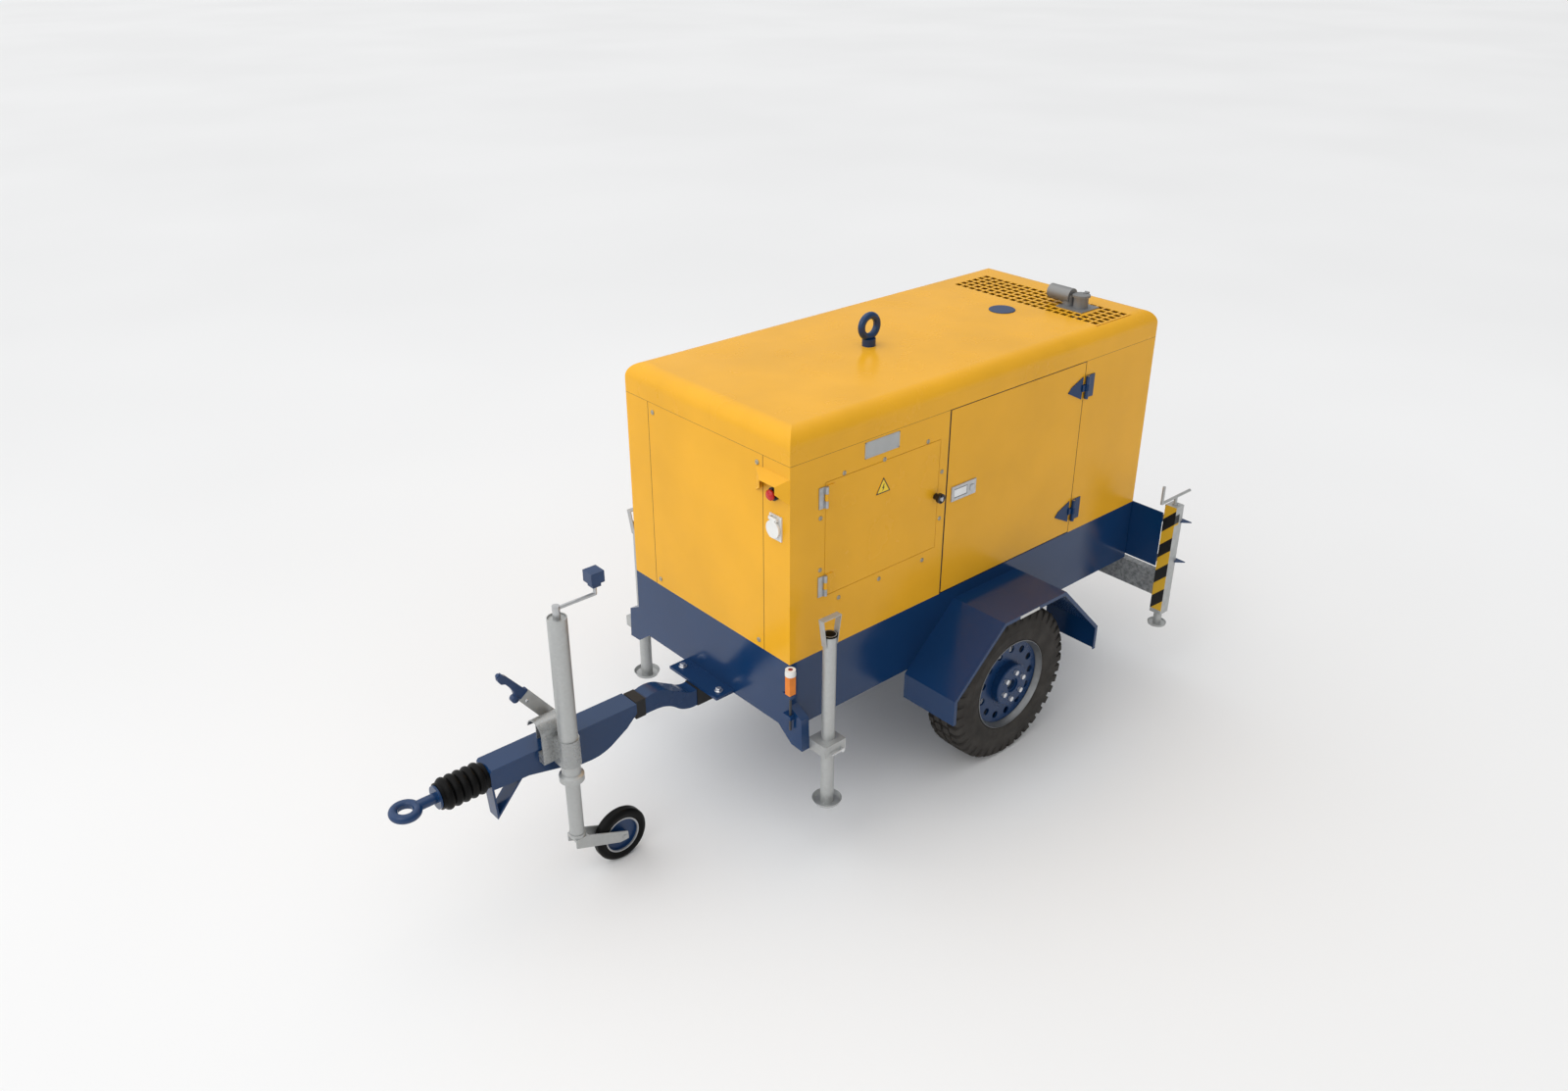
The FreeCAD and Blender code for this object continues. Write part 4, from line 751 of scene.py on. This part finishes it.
def brake_lever():
    """Pressed channel lever with a moulded blue grip, its release roller and two rivets."""
    pivot = Vector(joints["handbrake_swing"]["pos_m"])
    lean = math.radians(53)
    along = Vector((-math.cos(lean), 0, math.sin(lean)))
    across = Vector((-math.sin(lean), 0, -math.cos(lean)))

    def slab(mesh, outline, start_y, width):
        """An outline in mm from the pivot, between start_y and start_y + width."""
        points = [(u * MM, v * MM) for u, v in outline]
        add_slab(mesh, points, pivot + Vector((0, start_y * MM, 0)), along, across, -width * MM)

    mesh = bmesh.new()
    cheek = [(-24, -14), (-14, -24), (10, -26), (186, -26), (186, 26), (10, 26), (-14, 24), (-24, 14)]
    slab(mesh, cheek, -9, 3)
    slab(mesh, cheek, 6, 3)
    slab(mesh, [(10, -26), (186, -26), (186, -23), (10, -23)], -8.9, 17.8)
    lever = made("brake_lever_channel", mesh, zinc, "brake_lever", "handbrake_lever",
                 smooth=False)
    bevelled(lever, 0.8 * MM)
    mesh = bmesh.new()
    grip = [(176, -24), (188, -27), (192, -20), (300, -16), (312, -12), (322, -13), (322, 10), (312, 16),
            (292, 18), (278, 8), (250, 8), (226, 12), (206, 22), (196, 22), (176, 20)]
    slab(mesh, grip, -10, 20)
    handle = made("brake_lever_grip", mesh, blue_plastic, "brake_lever")
    bevelled(handle, 3.2 * MM, 3, 25)
    mesh = bmesh.new()
    roller = [(radius * MM, height * MM)
              for radius, height in ((0, -13), (13, -13), (15, -10), (15, 10), (13, 13), (0, 13))]
    add_lathe(mesh, roller, pivot + along * 196 * MM + across * 29 * MM, (0, 1, 0), 28)
    made("brake_release_roller", mesh, blue_plastic, "brake_lever")
    mesh = bmesh.new()
    rivet = [(radius * MM, height * MM)
             for radius, height in ((0, -11.2), (6, -11.2), (7, -9.6), (7, 9.6), (6, 11.2), (0, 11.2))]
    for reach, drop in ((0, 0), (150, 8)):
        add_lathe(mesh, rivet, pivot + along * reach * MM + across * drop * MM, (0, 1, 0), 20)
    made("brake_lever_rivets", mesh, steel, "brake_lever")


blue_plastic = plastic("blue_plastic", (0.008, 0.034, 0.11), 0.3)
screw_metal = polished("screw_zinc", (0.42, 0.38, 0.29), 0.3)
bolt_metal = polished("bolt_zinc", (0.75, 0.75, 0.76), 0.25)
seal_black = rubber("door_seal_rubber", (0.006, 0.012, 0.03), 0.6)
# near-black material of the discs that stand in for the shade inside the open leg tubes
tube_shade_black = rubber("open_tube_painted_shade", (0.003, 0.003, 0.003), 0.5)
label_grey = plastic("label_grey", (0.42, 0.43, 0.43), 0.4)
sign_yellow = plastic("sign_yellow", (0.9, 0.62, 0.02), 0.4)
ink = plastic("sign_black", (0.01, 0.01, 0.01), 0.45)
reflector = plastic("reflector_white", (0.62, 0.62, 0.6), 0.2)

for wheel_side in ("left", "right"):
    tyre(wheel_side)
    seals(wheel_side)
    open_tube_shade(wheel_side)
control_seal()
gaiter()
fasteners()
signs()
brake_lever()


# ---------------------------------------------------------------- studio

def studio():
    """Pale floor that runs on to the horizon, a sky brighter overhead, and soft lamps."""
    bpy.context.scene.view_settings.view_transform = "Standard"
    floor_size, below_wheels = 400, 0.0005
    bpy.ops.mesh.primitive_plane_add(size=floor_size, location=(0, 0, -below_wheels))
    floor = bpy.context.object
    floor.name = "studio_floor"
    shader = Shader("studio_floor_paint")
    patches = shader.ramp(shader.noise(0.25, 2), 0, 1, 0.35, 0.65)
    tone = shader.mix(patches, (0.84, 0.84, 0.84), (0.87, 0.87, 0.87))
    floor.data.materials.append(shader.finish(tone, 0.7))
    world = bpy.data.worlds.new("studio_sky")
    world.use_nodes = True
    tree = world.node_tree
    coordinates = tree.nodes.new("ShaderNodeTexCoord")
    lean = tree.nodes.new("ShaderNodeVectorMath")
    lean.operation = "DOT_PRODUCT"
    lean.inputs[1].default_value = SKY_LEAN
    climb = tree.nodes.new("ShaderNodeMapRange")
    tree.links.new(coordinates.outputs["Generated"], lean.inputs[0])
    tree.links.new(lean.outputs["Value"], climb.inputs["Value"])
    climb.inputs["To Min"].default_value = SKY_LOW
    climb.inputs["To Max"].default_value = SKY_HIGH
    sky = tree.nodes["Background"]
    sky.inputs["Color"].default_value = (0.99, 0.995, 1.0, 1)
    tree.links.new(climb.outputs[0], sky.inputs["Strength"])
    bpy.context.scene.world = world
    # name, place, target, size in metres, watts, colour
    lamps = (
        ("key", (-5.5, -1.2, 5.5), (0.0, 0.0, 0.8), 3.5, 45, (1.0, 0.99, 0.97)),
        ("top", (0.6, 1.2, 7.0), (0.3, 0.0, 0.8), 4.0, 25, (1.0, 1.0, 1.0)),
    )
    for name, place, target, size, power, colour in lamps:
        lamp = bpy.data.lights.new(name, "AREA")
        lamp.size = size
        lamp.energy = power
        lamp.color = colour
        holder = bpy.data.objects.new(name, lamp)
        holder.location = place
        holder.rotation_euler = (Vector(target) - Vector(place)).to_track_quat("-Z", "Y").to_euler()
        bpy.context.scene.collection.objects.link(holder)


def camera():
    """A view from the front left, looking along yaw and down by pitch."""
    yaw, pitch = math.radians(48.894), math.radians(27.612)
    lens = bpy.data.cameras.new("view")
    lens.lens = 29.3
    lens.sensor_width = 36
    lens.clip_end = 200
    holder = bpy.data.objects.new("view", lens)
    holder.location = (-3.0845, -3.479, 3.411)
    ahead = Vector((math.cos(yaw) * math.cos(pitch), math.sin(yaw) * math.cos(pitch), -math.sin(pitch)))
    holder.rotation_euler = ahead.to_track_quat("-Z", "Y").to_euler()
    bpy.context.scene.collection.objects.link(holder)
    bpy.context.scene.camera = holder


camera()
studio()
